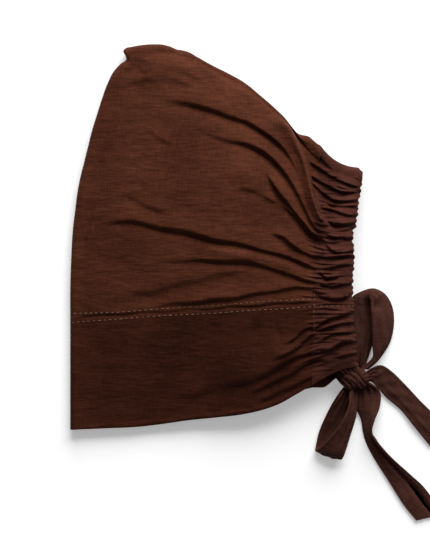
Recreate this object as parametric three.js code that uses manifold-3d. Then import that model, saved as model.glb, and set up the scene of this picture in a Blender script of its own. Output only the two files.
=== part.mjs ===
import * as THREE from 'three';
import { mergeVertices } from 'three/addons/utils/BufferGeometryUtils.js';
import Module from 'manifold-3d';

// A tie-back underscarf cap of woven cotton, folded flat on the head's midline and laid on its side.
// Millimetres, +Z up. X runs from the midline fold to the nape, Y from the face edge to the crown.
// While it is drawn, x = 0 is the midline fold and y = 0 is the seam's end on that fold.

const wasm = await Module();
wasm.setup();

// Driving sizes of the cap
const panelWidth = 145;        // midline fold to the casing's stitch line
const crownHeight = 164;       // seam to the crown's highest point
const bandHeight = 67;         // seam to the face edge, along the midline fold
const seamRise = 9.3;          // the seam climbs this much on its way to the casing
const nearEdgeRise = 27;       // the near half's face edge climbs this much to the casing
const farEdgeRise = 25;        // the far half's
const casingRise = 94;         // seam to the top of the casing, along its stitch line
const casingWidth = 25;        // stitch line to the turned outer edge
const casingTopFall = 13;      // the casing's top falls this much towards its outer edge
const nearEndRise = 11;        // the near casing end climbs this much towards its outer edge
const farEndRise = 6;          // the far casing end
const farFootWidth = 16.5;     // the far casing end is drawn in to this width
const napeLean = 5.6;          // the stitch line leans out this much at its top

// Cloth and how high it lies
const crownCloth = 1.3;
const bandCloth = 1.9;         // two layers, folded at the face edge
const casingCloth = 2.2;       // turned over its drawn-up channel
const foldRadius = 3.3;        // roll of the midline fold
const napeFoldRadius = 5.4;    // roll of the gathered fold at the casing's top
const napeLoft = 20;           // height of the near half at the casing, midway
const footLoft = 13;           // and at the casing's foot, where the face edge stands open
const crownPuff = 3;           // further swell of the crown between fold and casing
const edgeSettle = 0.08;       // share of its height that the band loses at the face edge
const gatherPitch = 7.2;       // one pleat of the casing
const gatherDepth = 1.5;       // half a pleat's height

// Ties and bow
const tieWidth = 17;
const tieCloth = 1.2;
const knotLength = 18;
const knotBreadth = 13.6;
const knotHeight = 11;
const upperLoopLength = 54;
const lowerLoopLength = 48;
const upperTailLength = 60;
const lowerTailLength = 96;

// Gap that keeps each piece clear of the one it is sewn to
const seamGap = 0.3;

// How finely the surfaces are cut
const crownRibs = 34;
const bandRibs = 13;
const nearSteps = 22;
const farSteps = 6;
const turnSteps = 4;
const casingNearSteps = 54;
const casingFarSteps = 16;
const casingAcross = 4;
const tieAcross = 3;
const tieSteps = 3;
const foldSamples = 14;

// The crown's outline along the midline fold: shares of panelWidth and crownHeight
const crownOutline = [
  { out: 0.000, up: 0.00 },
  { out: 0.002, up: 0.16 },
  { out: 0.012, up: 0.33 },
  { out: 0.033, up: 0.48 },
  { out: 0.066, up: 0.61 },
  { out: 0.116, up: 0.75 },
  { out: 0.166, up: 0.87 },
  { out: 0.205, up: 0.94 },
  { out: 0.262, up: 0.99 },
  { out: 0.340, up: 1.00 },
  { out: 0.440, up: 0.99 },
  { out: 0.554, up: 0.945 },
  { out: 0.687, up: 0.883 },
  { out: 0.794, up: 0.81 },
  { out: 0.902, up: 0.715 },
  { out: 0.972, up: 0.668 },
  { out: 1.039, up: 0.63 },
];

// Creases of the crown's near half, from their soft end to the casing.
// Places are shares of panelWidth and crownHeight, depth and spread are in millimetres.
const crownFolds = [
  { x0: 0.37, y0: 0.785, x1: 0.68, y1: 0.76, x2: 0.92, y2: 0.61, depth: 4.5, spread: 4.5, open: 0.3 },
  { x0: 0.54, y0: 0.69, x1: 0.80, y1: 0.65, x2: 1.00, y2: 0.39, depth: 4.0, spread: 4.0, open: 0.3 },
  { x0: 0.79, y0: 0.56, x1: 0.85, y1: 0.42, x2: 1.01, y2: 0.30, depth: 4.0, spread: 4.0, open: 0.3 },
  { x0: 0.64, y0: 0.48, x1: 0.76, y1: 0.47, x2: 0.87, y2: 0.42, depth: 2.0, spread: 4.0, open: 0.4 },
  { x0: 0.80, y0: 0.33, x1: 0.91, y1: 0.26, x2: 1.03, y2: 0.23, depth: 3.0, spread: 3.5, open: 0.3 },
  { x0: 0.12, y0: 0.34, x1: 0.50, y1: 0.34, x2: 1.00, y2: 0.19, depth: 3.2, spread: 4.5, open: 0.4 },
  { x0: 0.29, y0: 0.18, x1: 0.74, y1: 0.25, x2: 1.02, y2: 0.13, depth: 3.2, spread: 4.0, open: 0.4 },
  { x0: 0.25, y0: 0.03, x1: 0.70, y1: 0.11, x2: 1.01, y2: 0.09, depth: 2.2, spread: 3.5, open: 0.4 },
  { x0: 0.20, y0: 0.45, x1: 0.31, y1: 0.43, x2: 0.42, y2: 0.38, depth: 1.4, spread: 5.0, open: 0.5 },
  { x0: 0.31, y0: 0.67, x1: 0.37, y1: 0.65, x2: 0.43, y2: 0.62, depth: 1.2, spread: 5.0, open: 0.5 },
];

// The crown's near half laps over the gathers behind it: high on the left of this line, low beyond it
const crownLap = { x0: 0.89, y0: 0.72, x1: 0.965, y1: 0.60, x2: 1.02, y2: 0.36, drop: 4.5, spread: 2.6 };

// Creases of the band's near half: shares of panelWidth, and of bandHeight down from the seam
const bandFolds = [
  { x0: 0.88, y0: -0.25, x1: 0.95, y1: -0.14, x2: 1.02, y2: -0.10, depth: 2.2, spread: 3.2, open: 0.4 },
  { x0: 0.80, y0: -0.42, x1: 0.92, y1: -0.28, x2: 1.02, y2: -0.27, depth: 3.0, spread: 3.6, open: 0.4 },
  { x0: 0.70, y0: -0.60, x1: 0.87, y1: -0.43, x2: 1.02, y2: -0.31, depth: 3.0, spread: 3.8, open: 0.4 },
  { x0: 0.58, y0: -0.73, x1: 0.83, y1: -0.66, x2: 1.02, y2: -0.44, depth: 2.4, spread: 4.0, open: 0.4 },
  { x0: 0.04, y0: -0.24, x1: 0.15, y1: -0.31, x2: 0.25, y2: -0.19, depth: 1.2, spread: 6.0, open: 0.5 },
];

// The casing's outer edge wanders as its pleats bunch: up is the share of its height, wide of its width
const casingEdge = [
  { up: 0.00, wide: 1.10 },
  { up: 0.10, wide: 1.08 },
  { up: 0.22, wide: 1.01 },
  { up: 0.36, wide: 0.98 },
  { up: 0.48, wide: 0.96 },
  { up: 0.56, wide: 1.00 },
  { up: 0.66, wide: 0.93 },
  { up: 0.73, wide: 0.94 },
  { up: 0.78, wide: 1.01 },
  { up: 0.90, wide: 1.03 },
  { up: 1.00, wide: 1.07 },
];

// Each tie is a strip between two edges, a row for each crosswise section from the knot outwards.
// Plan places are shares of the strip's own length from the knot's centre, heights of tieWidth.
const upperLoopRows = [
  { ax: 0.01, ay: 0.09, az: 0.22, bx: 0.09, by: 0.09, bz: 0.30 },
  { ax: -0.02, ay: 0.30, az: 0.32, bx: 0.14, by: 0.28, bz: 0.22 },
  { ax: -0.045, ay: 0.54, az: 0.34, bx: 0.165, by: 0.50, bz: 0.16 },
  { ax: -0.045, ay: 0.77, az: 0.34, bx: 0.165, by: 0.70, bz: 0.18 },
  { ax: 0.00, ay: 0.89, az: 0.28, bx: 0.155, by: 0.84, bz: 0.26 },
  { ax: 0.11, ay: 0.97, az: 0.20, bx: 0.16, by: 0.90, bz: 0.36 },
  { ax: 0.23, ay: 1.00, az: 0.14, bx: 0.18, by: 0.89, bz: 0.42 },
  { ax: 0.345, ay: 0.93, az: 0.10, bx: 0.19, by: 0.82, bz: 0.44 },
  { ax: 0.42, ay: 0.77, az: 0.06, bx: 0.195, by: 0.70, bz: 0.44 },
  { ax: 0.43, ay: 0.57, az: 0.06, bx: 0.19, by: 0.52, bz: 0.42 },
  { ax: 0.38, ay: 0.37, az: 0.06, bx: 0.185, by: 0.36, bz: 0.38 },
  { ax: 0.26, ay: 0.23, az: 0.12, bx: 0.17, by: 0.22, bz: 0.34 },
  { ax: 0.14, ay: 0.10, az: 0.24, bx: 0.09, by: 0.10, bz: 0.34 },
];
const lowerLoopRows = [
  { ax: -0.09, ay: -0.06, az: 0.25, bx: 0.00, by: -0.09, bz: 0.25 },
  { ax: -0.19, ay: -0.19, az: 0.12, bx: -0.04, by: -0.23, bz: 0.12 },
  { ax: -0.32, ay: -0.39, az: 0.06, bx: -0.07, by: -0.49, bz: 0.06 },
  { ax: -0.44, ay: -0.66, az: 0.05, bx: -0.13, by: -0.76, bz: 0.05 },
  { ax: -0.51, ay: -0.85, az: 0.07, bx: -0.19, by: -0.96, bz: 0.07 },
  { ax: -0.53, ay: -0.91, az: 0.21, bx: -0.21, by: -1.02, bz: 0.21 },
  { ax: -0.50, ay: -0.85, az: 0.36, bx: -0.18, by: -0.96, bz: 0.36 },
  { ax: -0.35, ay: -0.66, az: 0.44, bx: -0.11, by: -0.76, bz: 0.40 },
  { ax: -0.20, ay: -0.41, az: 0.48, bx: -0.05, by: -0.49, bz: 0.42 },
  { ax: -0.10, ay: -0.22, az: 0.48, bx: -0.01, by: -0.26, bz: 0.42 },
  { ax: -0.05, ay: -0.09, az: 0.42, bx: 0.02, by: -0.09, bz: 0.38 },
];
const upperTailRows = [
  { ax: 0.08, ay: 0.03, az: 0.34, bx: 0.08, by: -0.06, bz: 0.30 },
  { ax: 0.18, ay: 0.10, az: 0.28, bx: 0.16, by: -0.04, bz: 0.20 },
  { ax: 0.28, ay: 0.12, az: 0.20, bx: 0.24, by: -0.11, bz: 0.10 },
  { ax: 0.39, ay: 0.05, az: 0.12, bx: 0.33, by: -0.21, bz: 0.05 },
  { ax: 0.55, ay: -0.11, az: 0.08, bx: 0.47, by: -0.33, bz: 0.05 },
  { ax: 0.69, ay: -0.26, az: 0.05, bx: 0.60, by: -0.49, bz: 0.09 },
  { ax: 0.89, ay: -0.45, az: 0.05, bx: 0.77, by: -0.70, bz: 0.05 },
];
const lowerTailRows = [
  { ax: 0.02, ay: -0.02, az: 0.28, bx: 0.06, by: -0.02, bz: 0.30 },
  { ax: 0.03, ay: -0.10, az: 0.12, bx: 0.11, by: -0.10, bz: 0.18 },
  { ax: 0.03, ay: -0.18, az: 0.06, bx: 0.11, by: -0.19, bz: 0.30 },
  { ax: 0.03, ay: -0.26, az: 0.05, bx: 0.10, by: -0.26, bz: 0.42 },
  { ax: 0.04, ay: -0.34, az: 0.05, bx: 0.08, by: -0.34, bz: 0.48 },
  { ax: 0.06, ay: -0.41, az: 0.05, bx: 0.12, by: -0.40, bz: 0.42 },
  { ax: 0.12, ay: -0.51, az: 0.05, bx: 0.21, by: -0.50, bz: 0.28 },
  { ax: 0.21, ay: -0.66, az: 0.05, bx: 0.33, by: -0.61, bz: 0.15 },
  { ax: 0.31, ay: -0.80, az: 0.05, bx: 0.43, by: -0.70, bz: 0.08 },
  { ax: 0.39, ay: -0.90, az: 0.05, bx: 0.56, by: -0.86, bz: 0.05 },
];

// Heights and places that follow from the sizes
const napeTop = seamRise + casingRise;
const nearFoot = nearEdgeRise - bandHeight;
const farFoot = farEdgeRise - bandHeight;
const crownShoulder = 1.6 * napeFoldRadius;

const clamp01 = (value) => Math.min(1, Math.max(0, value));
const mix = (a, b, share) => a + (b - a) * share;
const smooth = (value) => {
  const t = clamp01(value);
  return t * t * (3 - 2 * t);
};

// The casing's stitch line: its x at height y
function stitchLine(y) {
  const climbed = clamp01((y - seamRise) / casingRise);
  return panelWidth + napeLean * climbed * climbed;
}

// Height of the near half along the stitch line, by share of the way from its foot to the top fold
function napeHeight(share) {
  const fromMiddle = 2 * share - 1;
  const end = mix(footLoft, 2 * napeFoldRadius, share);
  return end + (napeLoft - end) * (1 - fromMiddle * fromMiddle);
}

function shareAtNape(y) {
  return clamp01((y - nearFoot) / (napeTop - napeFoldRadius - nearFoot));
}

// Signed distance from a bent crease, and how far along it the nearest point lies
function nearestOnCrease(crease, width, height, x, y) {
  let best = { distance: Infinity, along: 0 };
  let before = null;
  for (let i = 0; i <= foldSamples; i++) {
    const t = i / foldSamples;
    const a = (1 - t) * (1 - t);
    const b = 2 * t * (1 - t);
    const c = t * t;
    const point = {
      x: width * (a * crease.x0 + b * crease.x1 + c * crease.x2),
      y: height * (a * crease.y0 + b * crease.y1 + c * crease.y2),
    };
    if (before) {
      const dx = point.x - before.x;
      const dy = point.y - before.y;
      const step = clamp01(((x - before.x) * dx + (y - before.y) * dy) / (dx * dx + dy * dy));
      const offX = x - before.x - dx * step;
      const offY = y - before.y - dy * step;
      const distance = Math.hypot(offX, offY);
      if (distance < Math.abs(best.distance)) {
        const side = dx * offY - dy * offX < 0 ? -1 : 1;
        best = { distance: side * distance, along: (i - 1 + step) / foldSamples };
      }
    }
    before = point;
  }
  return best;
}

// A crease is a valley with a soft swell on either side of it
function creaseRelief(folds, width, height, x, y) {
  let relief = 0;
  for (const fold of folds) {
    const { distance, along } = nearestOnCrease(fold, width, height, x, y);
    const across = Math.abs(distance) / fold.spread;
    const valley = Math.exp(-across * across);
    const swell = 0.45 * Math.exp(-((across - 2) ** 2));
    relief += fold.depth * (swell - valley) * smooth(along / fold.open);
  }
  return relief;
}

function crownRelief(x, y) {
  const lap = nearestOnCrease(crownLap, panelWidth, crownHeight, x, y);
  const ends = smooth(lap.along / 0.3) * (1 - smooth((lap.along - 0.75) / 0.25));
  const behind = 0.5 + 0.5 * Math.tanh(lap.distance / crownLap.spread);
  const near = Math.exp(-((lap.distance / (7 * crownLap.spread)) ** 2));
  return creaseRelief(crownFolds, panelWidth, crownHeight, x, y) - crownLap.drop * behind * ends * near;
}

const bandRelief = (x, y) => creaseRelief(bandFolds, panelWidth, bandHeight, x, y);

// A closed cloth wall between two grids of points with the same rows and columns
function wallBetween(outer, inner) {
  const rows = outer.length;
  const columns = outer[0].length;
  const positions = [];
  for (const grid of [outer, inner]) {
    for (const row of grid) {
      for (const point of row) positions.push(point.x, point.y, point.z);
    }
  }
  const top = (i, j) => i * columns + j;
  const under = (i, j) => rows * columns + i * columns + j;
  const faces = [];
  const quad = (a, b, c, d) => faces.push(a, b, c, a, c, d);
  for (let i = 0; i + 1 < rows; i++) {
    for (let j = 0; j + 1 < columns; j++) {
      quad(top(i, j), top(i + 1, j), top(i + 1, j + 1), top(i, j + 1));
      quad(under(i, j), under(i, j + 1), under(i + 1, j + 1), under(i + 1, j));
    }
    quad(top(i + 1, 0), top(i, 0), under(i, 0), under(i + 1, 0));
    quad(top(i, columns - 1), top(i + 1, columns - 1), under(i + 1, columns - 1), under(i, columns - 1));
  }
  for (let j = 0; j + 1 < columns; j++) {
    quad(top(0, j), top(0, j + 1), under(0, j + 1), under(0, j));
    quad(top(rows - 1, j + 1), top(rows - 1, j), under(rows - 1, j), under(rows - 1, j + 1));
  }
  return facingOut(positions, faces);
}

// Turns every face round if the body they close would have a negative volume
function facingOut(positions, faces) {
  const corner = (index) => new THREE.Vector3().fromArray(positions, 3 * index);
  let volume = 0;
  for (let i = 0; i < faces.length; i += 3) {
    const [a, b, c] = [corner(faces[i]), corner(faces[i + 1]), corner(faces[i + 2])];
    volume += a.dot(b.cross(c));
  }
  const wound = [...faces];
  if (volume < 0) wound.reverse();
  const geometry = new THREE.BufferGeometry();
  geometry.setAttribute('position', new THREE.Float32BufferAttribute(positions, 3));
  geometry.setIndex(wound);
  return geometry;
}

// Stations of a folded section: the near half from its rim to the fold, the turn, the far half.
// The near half's are closer together towards the rim, where the gathers are.
function sectionStations() {
  const stations = [];
  for (let i = nearSteps; i > 0; i--) {
    stations.push({ half: 'near', share: 1 - (1 - i / nearSteps) ** 1.4 });
  }
  for (let i = 0; i <= turnSteps; i++) {
    stations.push({ half: 'turn', angle: Math.PI * (0.5 - i / turnSteps) });
  }
  for (let i = 1; i <= farSteps; i++) stations.push({ half: 'far', share: i / farSteps });
  return stations;
}

// One panel folded on the midline. shape(rib) gives the fold's place, its radius and, for either half,
// the place at a share of the way to the rim, and the near half's height there.
function foldedPanel(ribs, cloth, shape) {
  const stations = sectionStations();
  const outer = [];
  const inner = [];
  for (let i = 0; i <= ribs; i++) {
    const rib = shape(i / ribs);
    const towards = new THREE.Vector2().subVectors(rib.near(0.1), rib.near(0)).normalize();
    const outerRow = [];
    const innerRow = [];
    for (const station of stations) {
      if (station.half === 'turn') {
        const reach = rib.radius * (1 - Math.cos(station.angle));
        const tucked = rib.radius - (rib.radius - cloth) * Math.cos(station.angle);
        const lift = Math.sin(station.angle);
        outerRow.push(new THREE.Vector3(
          rib.fold.x + towards.x * reach,
          rib.fold.y + towards.y * reach,
          rib.radius * (1 + lift),
        ));
        innerRow.push(new THREE.Vector3(
          rib.fold.x + towards.x * tucked,
          rib.fold.y + towards.y * tucked,
          rib.radius + (rib.radius - cloth) * lift,
        ));
        continue;
      }
      const place = station.half === 'near' ? rib.near(station.share) : rib.far(station.share);
      const isNear = station.half === 'near';
      const height = isNear ? rib.height(station.share, place) : 0;
      outerRow.push(new THREE.Vector3(place.x, place.y, height));
      innerRow.push(new THREE.Vector3(place.x, place.y, isNear ? height - cloth : cloth));
    }
    outer.push(outerRow);
    inner.push(innerRow);
  }
  return wallBetween(outer, inner);
}

// Crown: ribs fan out from the casing to the midline fold, as its gathers do
function crownGeometry() {
  const end = new THREE.Vector2(stitchLine(napeTop) - seamGap / 2, napeTop);
  const last = crownOutline[crownOutline.length - 1];
  const count = crownOutline.length - 1;
  const points = crownOutline.map((row, i) => {
    const pull = (i / count) ** 3;
    return new THREE.Vector3(
      row.out * panelWidth + (end.x - last.out * panelWidth) * pull,
      row.up * crownHeight + (end.y - last.up * crownHeight) * pull,
      0,
    );
  });
  const outline = new THREE.CatmullRomCurve3(points);
  return foldedPanel(crownRibs, crownCloth, (share) => {
    const spot = outline.getPointAt(share * (0.68 + 0.32 * share));
    const clearOfSeam = share === 0 ? seamGap / 2 : 0;
    const fold = new THREE.Vector2(spot.x, spot.y + clearOfSeam);
    const rimY = mix(seamRise + seamGap / 2, napeTop - crownShoulder, share);
    const rim = new THREE.Vector2(stitchLine(rimY) - seamGap / 2, rimY);
    const radius = mix(foldRadius, napeFoldRadius, share);
    const inward = new THREE.Vector2().subVectors(rim, fold).normalize().multiplyScalar(radius);
    const start = fold.clone().add(inward);
    const between = (part) => start.clone().lerp(rim, part);
    return {
      fold,
      radius,
      near: between,
      far: between,
      height: (part, place) => {
        const rise = 1 - (1 - part) ** 2.5;
        const level = mix(2 * radius, napeHeight(shareAtNape(rimY)), rise);
        const puff = crownPuff * Math.sin(Math.PI * part) * Math.sin(Math.PI * mix(0.12, 0.88, share));
        const settled = smooth(start.distanceTo(place) / 14);
        return level + puff + crownRelief(place.x, place.y) * settled;
      },
    };
  });
}

// The face edge climbs slowly and then steeply towards the casing
const edgeClimb = (across) => 0.5 * across ** 1.3 + 0.5 * across ** 7;

// Front band: from the face edge up to the seam
function bandGeometry() {
  return foldedPanel(bandRibs, bandCloth, (share) => {
    const halfAt = (edgeRise) => (across) => {
      const edge = edgeRise * edgeClimb(across) - bandHeight;
      const seam = seamRise * across - seamGap / 2;
      const y = mix(edge, seam, share);
      return new THREE.Vector2((stitchLine(y) - seamGap / 2) * across, y);
    };
    const inset = foldRadius / panelWidth;
    const near = halfAt(nearEdgeRise);
    const far = halfAt(farEdgeRise);
    const fold = near(0);
    const fromRoll = (half) => (part) => half(mix(inset, 1, part));
    return {
      fold,
      radius: foldRadius,
      near: fromRoll(near),
      far: fromRoll(far),
      height: (part, place) => {
        const rise = 1 - (1 - part) ** 2.5;
        const rimY = near(1).y;
        const level = mix(2 * foldRadius, napeHeight(shareAtNape(rimY)), rise);
        const settle = edgeSettle * (1 - share) ** 2 * Math.sin(Math.PI * part ** 0.8) ** 0.8;
        const puff = crownPuff * Math.sin(Math.PI * part) * Math.sin(Math.PI * 0.12) * share;
        const relief = bandRelief(place.x, place.y) * smooth(place.x / 20);
        return Math.max(level * (1 - settle) + puff + relief, 2 * foldRadius - 1);
      },
    };
  });
}

function edgeWidth(share) {
  const above = casingEdge.findIndex((row) => row.up >= share);
  const high = casingEdge[Math.max(1, above)];
  const low = casingEdge[Math.max(1, above) - 1];
  return mix(low.wide, high.wide, smooth((share - low.up) / (high.up - low.up)));
}

// The casing's pleats, uneven as hand-drawn gathers are
function pleat(travel) {
  const turn = 2 * Math.PI * travel / gatherPitch;
  return Math.cos(turn + 1.1 * Math.sin(turn / 3.7)) + 0.35 * Math.cos(0.53 * turn + 1);
}

// Nape casing: a pleated channel, up the near half, over the fold and down the far half
function casingGeometry() {
  const outer = [];
  const inner = [];
  const stations = [];
  for (let i = 0; i <= casingNearSteps; i++) stations.push({ half: 'near', share: i / casingNearSteps });
  for (let i = 1; i < turnSteps + 2; i++) {
    stations.push({ half: 'turn', angle: Math.PI * (0.5 - i / (turnSteps + 2)) });
  }
  for (let i = 0; i <= casingFarSteps; i++) stations.push({ half: 'far', share: i / casingFarSteps });
  for (const station of stations) {
    const outerRow = [];
    const innerRow = [];
    for (let j = 0; j <= casingAcross; j++) {
      const across = j / casingAcross;
      const top = napeTop - casingTopFall * across;
      const turnY = top - napeFoldRadius;
      const drawn = smooth(across / 0.4);
      if (station.half === 'near') {
        const foot = nearFoot + nearEndRise * Math.sin(0.5 * Math.PI * across);
        const y = mix(foot, turnY, station.share);
        const x = stitchLine(y) + seamGap / 2 + across * casingWidth * edgeWidth(station.share);
        const lineY = mix(nearFoot, napeTop - napeFoldRadius, station.share);
        const line = stitchLine(lineY);
        const sewn = lineY > seamRise ? crownRelief(line, lineY) : bandRelief(line, lineY);
        const ends = smooth(station.share / 0.06) * smooth((1 - station.share) / 0.06);
        const gathers = gatherDepth * pleat(y) * drawn * ends;
        const tunnel = 1.2 * Math.sin(Math.PI * across);
        const bent = 1.4 * across * across;
        const height = napeHeight(station.share) + sewn * (1 - drawn) * ends + gathers + (tunnel - bent) * ends;
        outerRow.push(new THREE.Vector3(x, y, height));
        innerRow.push(new THREE.Vector3(x, y, height - casingCloth));
      } else if (station.half === 'turn') {
        const lift = Math.sin(station.angle);
        const reach = Math.cos(station.angle);
        const line = stitchLine(turnY + napeFoldRadius * reach);
        const x = line + seamGap / 2 + across * casingWidth * edgeWidth(1);
        const small = napeFoldRadius - casingCloth;
        outerRow.push(new THREE.Vector3(x, turnY + napeFoldRadius * reach, napeFoldRadius * (1 + lift)));
        innerRow.push(new THREE.Vector3(x, turnY + small * reach, napeFoldRadius + small * lift));
      } else {
        const y = mix(turnY, farFoot + farEndRise * smooth((across - 0.4) / 0.6), station.share);
        const up = 1 - station.share;
        const wide = mix(farFootWidth, 0.95 * casingWidth, smooth(up / 0.25)) * mix(1, edgeWidth(up), up);
        const x = stitchLine(y) + seamGap / 2 + across * wide;
        const ends = smooth(station.share / 0.1);
        const gathers = 0.5 * gatherDepth * (1.35 + pleat(y)) * drawn * ends;
        outerRow.push(new THREE.Vector3(x, y, 0));
        innerRow.push(new THREE.Vector3(x, y, casingCloth + gathers));
      }
    }
    outer.push(outerRow);
    inner.push(innerRow);
  }
  return wallBetween(outer, inner);
}

// The knot's centre hangs off the near casing end
const knotCentre = new THREE.Vector3(
  panelWidth + casingWidth * casingEdge[0].wide - 0.1 * knotLength,
  nearFoot + nearEndRise - 0.5 * knotBreadth,
  0.5 * knotHeight + 0.1,
);

// A strip of tie cloth between two smooth edges
function stripGeometry(points) {
  const edgeA = new THREE.CatmullRomCurve3(points.map((row) => row.a));
  const edgeB = new THREE.CatmullRomCurve3(points.map((row) => row.b));
  const steps = (points.length - 1) * tieSteps;
  const upper = [];
  const lower = [];
  for (let i = 0; i <= steps; i++) {
    const t = i / steps;
    const a = edgeA.getPoint(t);
    const b = edgeB.getPoint(t);
    const across = new THREE.Vector3().subVectors(b, a).normalize();
    const along = edgeA.getTangent(t).add(edgeB.getTangent(t)).normalize();
    const normal = new THREE.Vector3().crossVectors(across, along).normalize();
    const upperRow = [];
    const lowerRow = [];
    for (let j = 0; j <= tieAcross; j++) {
      const middle = a.clone().lerp(b, j / tieAcross);
      upperRow.push(middle.clone().addScaledVector(normal, tieCloth / 2));
      lowerRow.push(middle.clone().addScaledVector(normal, -tieCloth / 2));
    }
    upper.push(upperRow);
    lower.push(lowerRow);
  }
  return wallBetween(upper, lower);
}

// Places a bow table's rows round the knot, no lower than the surface it lies on
function bowStrip(rows, length) {
  const place = (x, y, z) => new THREE.Vector3(
    knotCentre.x + x * length,
    knotCentre.y + y * length,
    Math.max(z * tieWidth, 0.75 * tieCloth),
  );
  return stripGeometry(rows.map((row) => ({
    a: place(row.ax, row.ay, row.az),
    b: place(row.bx, row.by, row.bz),
  })));
}

// The near tie leaves the near casing end and drops into the knot
function nearRootGeometry() {
  const leave = napeHeight(0) - casingCloth / 2;
  const endLine = (across) => nearFoot + nearEndRise * Math.sin(0.5 * Math.PI * across) - 2 * seamGap;
  const at = (across, drop, z) => new THREE.Vector3(
    panelWidth + casingWidth * casingEdge[0].wide * across,
    endLine(across) - drop,
    z,
  );
  const { x, y, z } = knotCentre;
  return stripGeometry([
    { a: at(0.52, 0, leave), b: at(0.96, 0, leave) },
    { a: at(0.62, 0.12 * tieWidth, 0.93 * leave), b: at(0.96, 0.1 * tieWidth, 0.95 * leave) },
    {
      a: new THREE.Vector3(x - 0.2 * knotLength, y + 0.15 * knotBreadth, z),
      b: new THREE.Vector3(x + 0.1 * knotLength, y + 0.2 * knotBreadth, z),
    },
  ]);
}

// The far tie leaves the far casing end, along the surface, and climbs into the knot
function farRootGeometry() {
  const low = 0.75 * tieCloth;
  const endLine = (across) => farFoot + farEndRise * smooth((across - 0.4) / 0.6) - 4 * seamGap;
  const at = (across) => new THREE.Vector3(panelWidth + farFootWidth * across, endLine(across), low);
  const { x, y, z } = knotCentre;
  return stripGeometry([
    { a: at(0.88), b: at(0.58) },
    {
      a: new THREE.Vector3(x - 0.45 * knotLength, y - 0.09 * knotBreadth, 0.55 * z),
      b: new THREE.Vector3(x - 0.5 * knotLength, y - 0.3 * knotBreadth, 0.45 * z),
    },
    {
      a: new THREE.Vector3(x - 0.1 * knotLength, y + 0.05 * knotBreadth, z),
      b: new THREE.Vector3(x - 0.1 * knotLength, y - 0.2 * knotBreadth, z),
    },
  ]);
}

// The knot: a full round form, pinched where the crossing turn of cloth grips it
function knotGeometry(clearance) {
  const geometry = new THREE.SphereGeometry(1, 22, 14);
  geometry.deleteAttribute('normal');
  geometry.deleteAttribute('uv');
  const merged = mergeVertices(geometry, 1e-5);
  const place = merged.getAttribute('position');
  for (let i = 0; i < place.count; i++) {
    const x = place.getX(i);
    const y = place.getY(i);
    const z = place.getZ(i);
    const grip = 1 - 0.13 * Math.exp(-(((x + 0.45 * y - 0.25) / 0.16) ** 2))
      - 0.13 * Math.exp(-(((x + 0.45 * y + 0.45) / 0.16) ** 2));
    place.setXYZ(
      i,
      knotCentre.x + x * grip * (knotLength / 2 + clearance),
      knotCentre.y + y * grip * (knotBreadth / 2 + clearance),
      knotCentre.z + z * grip * (knotHeight / 2 + clearance * 0.2),
    );
  }
  return merged;
}

function toSolid(geometry) {
  const bare = mergeVertices(geometry, 1e-5);
  return new wasm.Manifold(new wasm.Mesh({
    numProp: 3,
    vertProperties: Float32Array.from(bare.getAttribute('position').array),
    triVerts: Uint32Array.from(bare.index.array),
  }));
}

// A strip stops short of the knot that grips it
function cutByKnot(geometry) {
  const mesh = toSolid(geometry).subtract(toSolid(knotGeometry(seamGap))).getMesh();
  const cut = new THREE.BufferGeometry();
  cut.setAttribute('position', new THREE.Float32BufferAttribute(mesh.vertProperties, 3));
  cut.setIndex([...mesh.triVerts]);
  return cut;
}

const brown = { crown: 0x4a2a22, band: 0x43251d, casing: 0x4e2d24, tie: 0x472820 };

function clothMesh(name, geometry, colour, roughness) {
  geometry.computeVertexNormals();
  const material = new THREE.MeshStandardMaterial({ color: colour, roughness, metalness: 0 });
  const mesh = new THREE.Mesh(geometry, material);
  mesh.name = name;
  return mesh;
}

const cap = new THREE.Group();
cap.add(clothMesh('crown', crownGeometry(), brown.crown, 0.8));
cap.add(clothMesh('front_band', bandGeometry(), brown.band, 0.8));
cap.add(clothMesh('nape_casing', casingGeometry(), brown.casing, 0.82));
cap.add(clothMesh('tie_root_near', cutByKnot(nearRootGeometry()), brown.tie, 0.8));
cap.add(clothMesh('tie_root_far', cutByKnot(farRootGeometry()), brown.tie, 0.8));
cap.add(clothMesh('bow_knot', knotGeometry(0), brown.tie, 0.78));
cap.add(clothMesh('bow_loop_upper', cutByKnot(bowStrip(upperLoopRows, upperLoopLength)), brown.tie, 0.8));
cap.add(clothMesh('bow_loop_lower', cutByKnot(bowStrip(lowerLoopRows, lowerLoopLength)), brown.tie, 0.8));
cap.add(clothMesh('tie_tail_upper', cutByKnot(bowStrip(upperTailRows, upperTailLength)), brown.tie, 0.8));
cap.add(clothMesh('tie_tail_lower', cutByKnot(bowStrip(lowerTailRows, lowerTailLength)), brown.tie, 0.8));

// The origin goes under the middle of everything, on the surface that the cap lies on
const reach = new THREE.Box3().setFromObject(cap);
cap.position.set(-(reach.min.x + reach.max.x) / 2, -(reach.min.y + reach.max.y) / 2, -reach.min.z);
cap.updateMatrixWorld(true);

export default cap;
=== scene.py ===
"""Dresses a tie-back underscarf cap: folded cloth walls, twin topstitching, a drawn casing and a tied bow."""

import logging
import math
from dataclasses import dataclass, field
from enum import Enum
from typing import Callable

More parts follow.
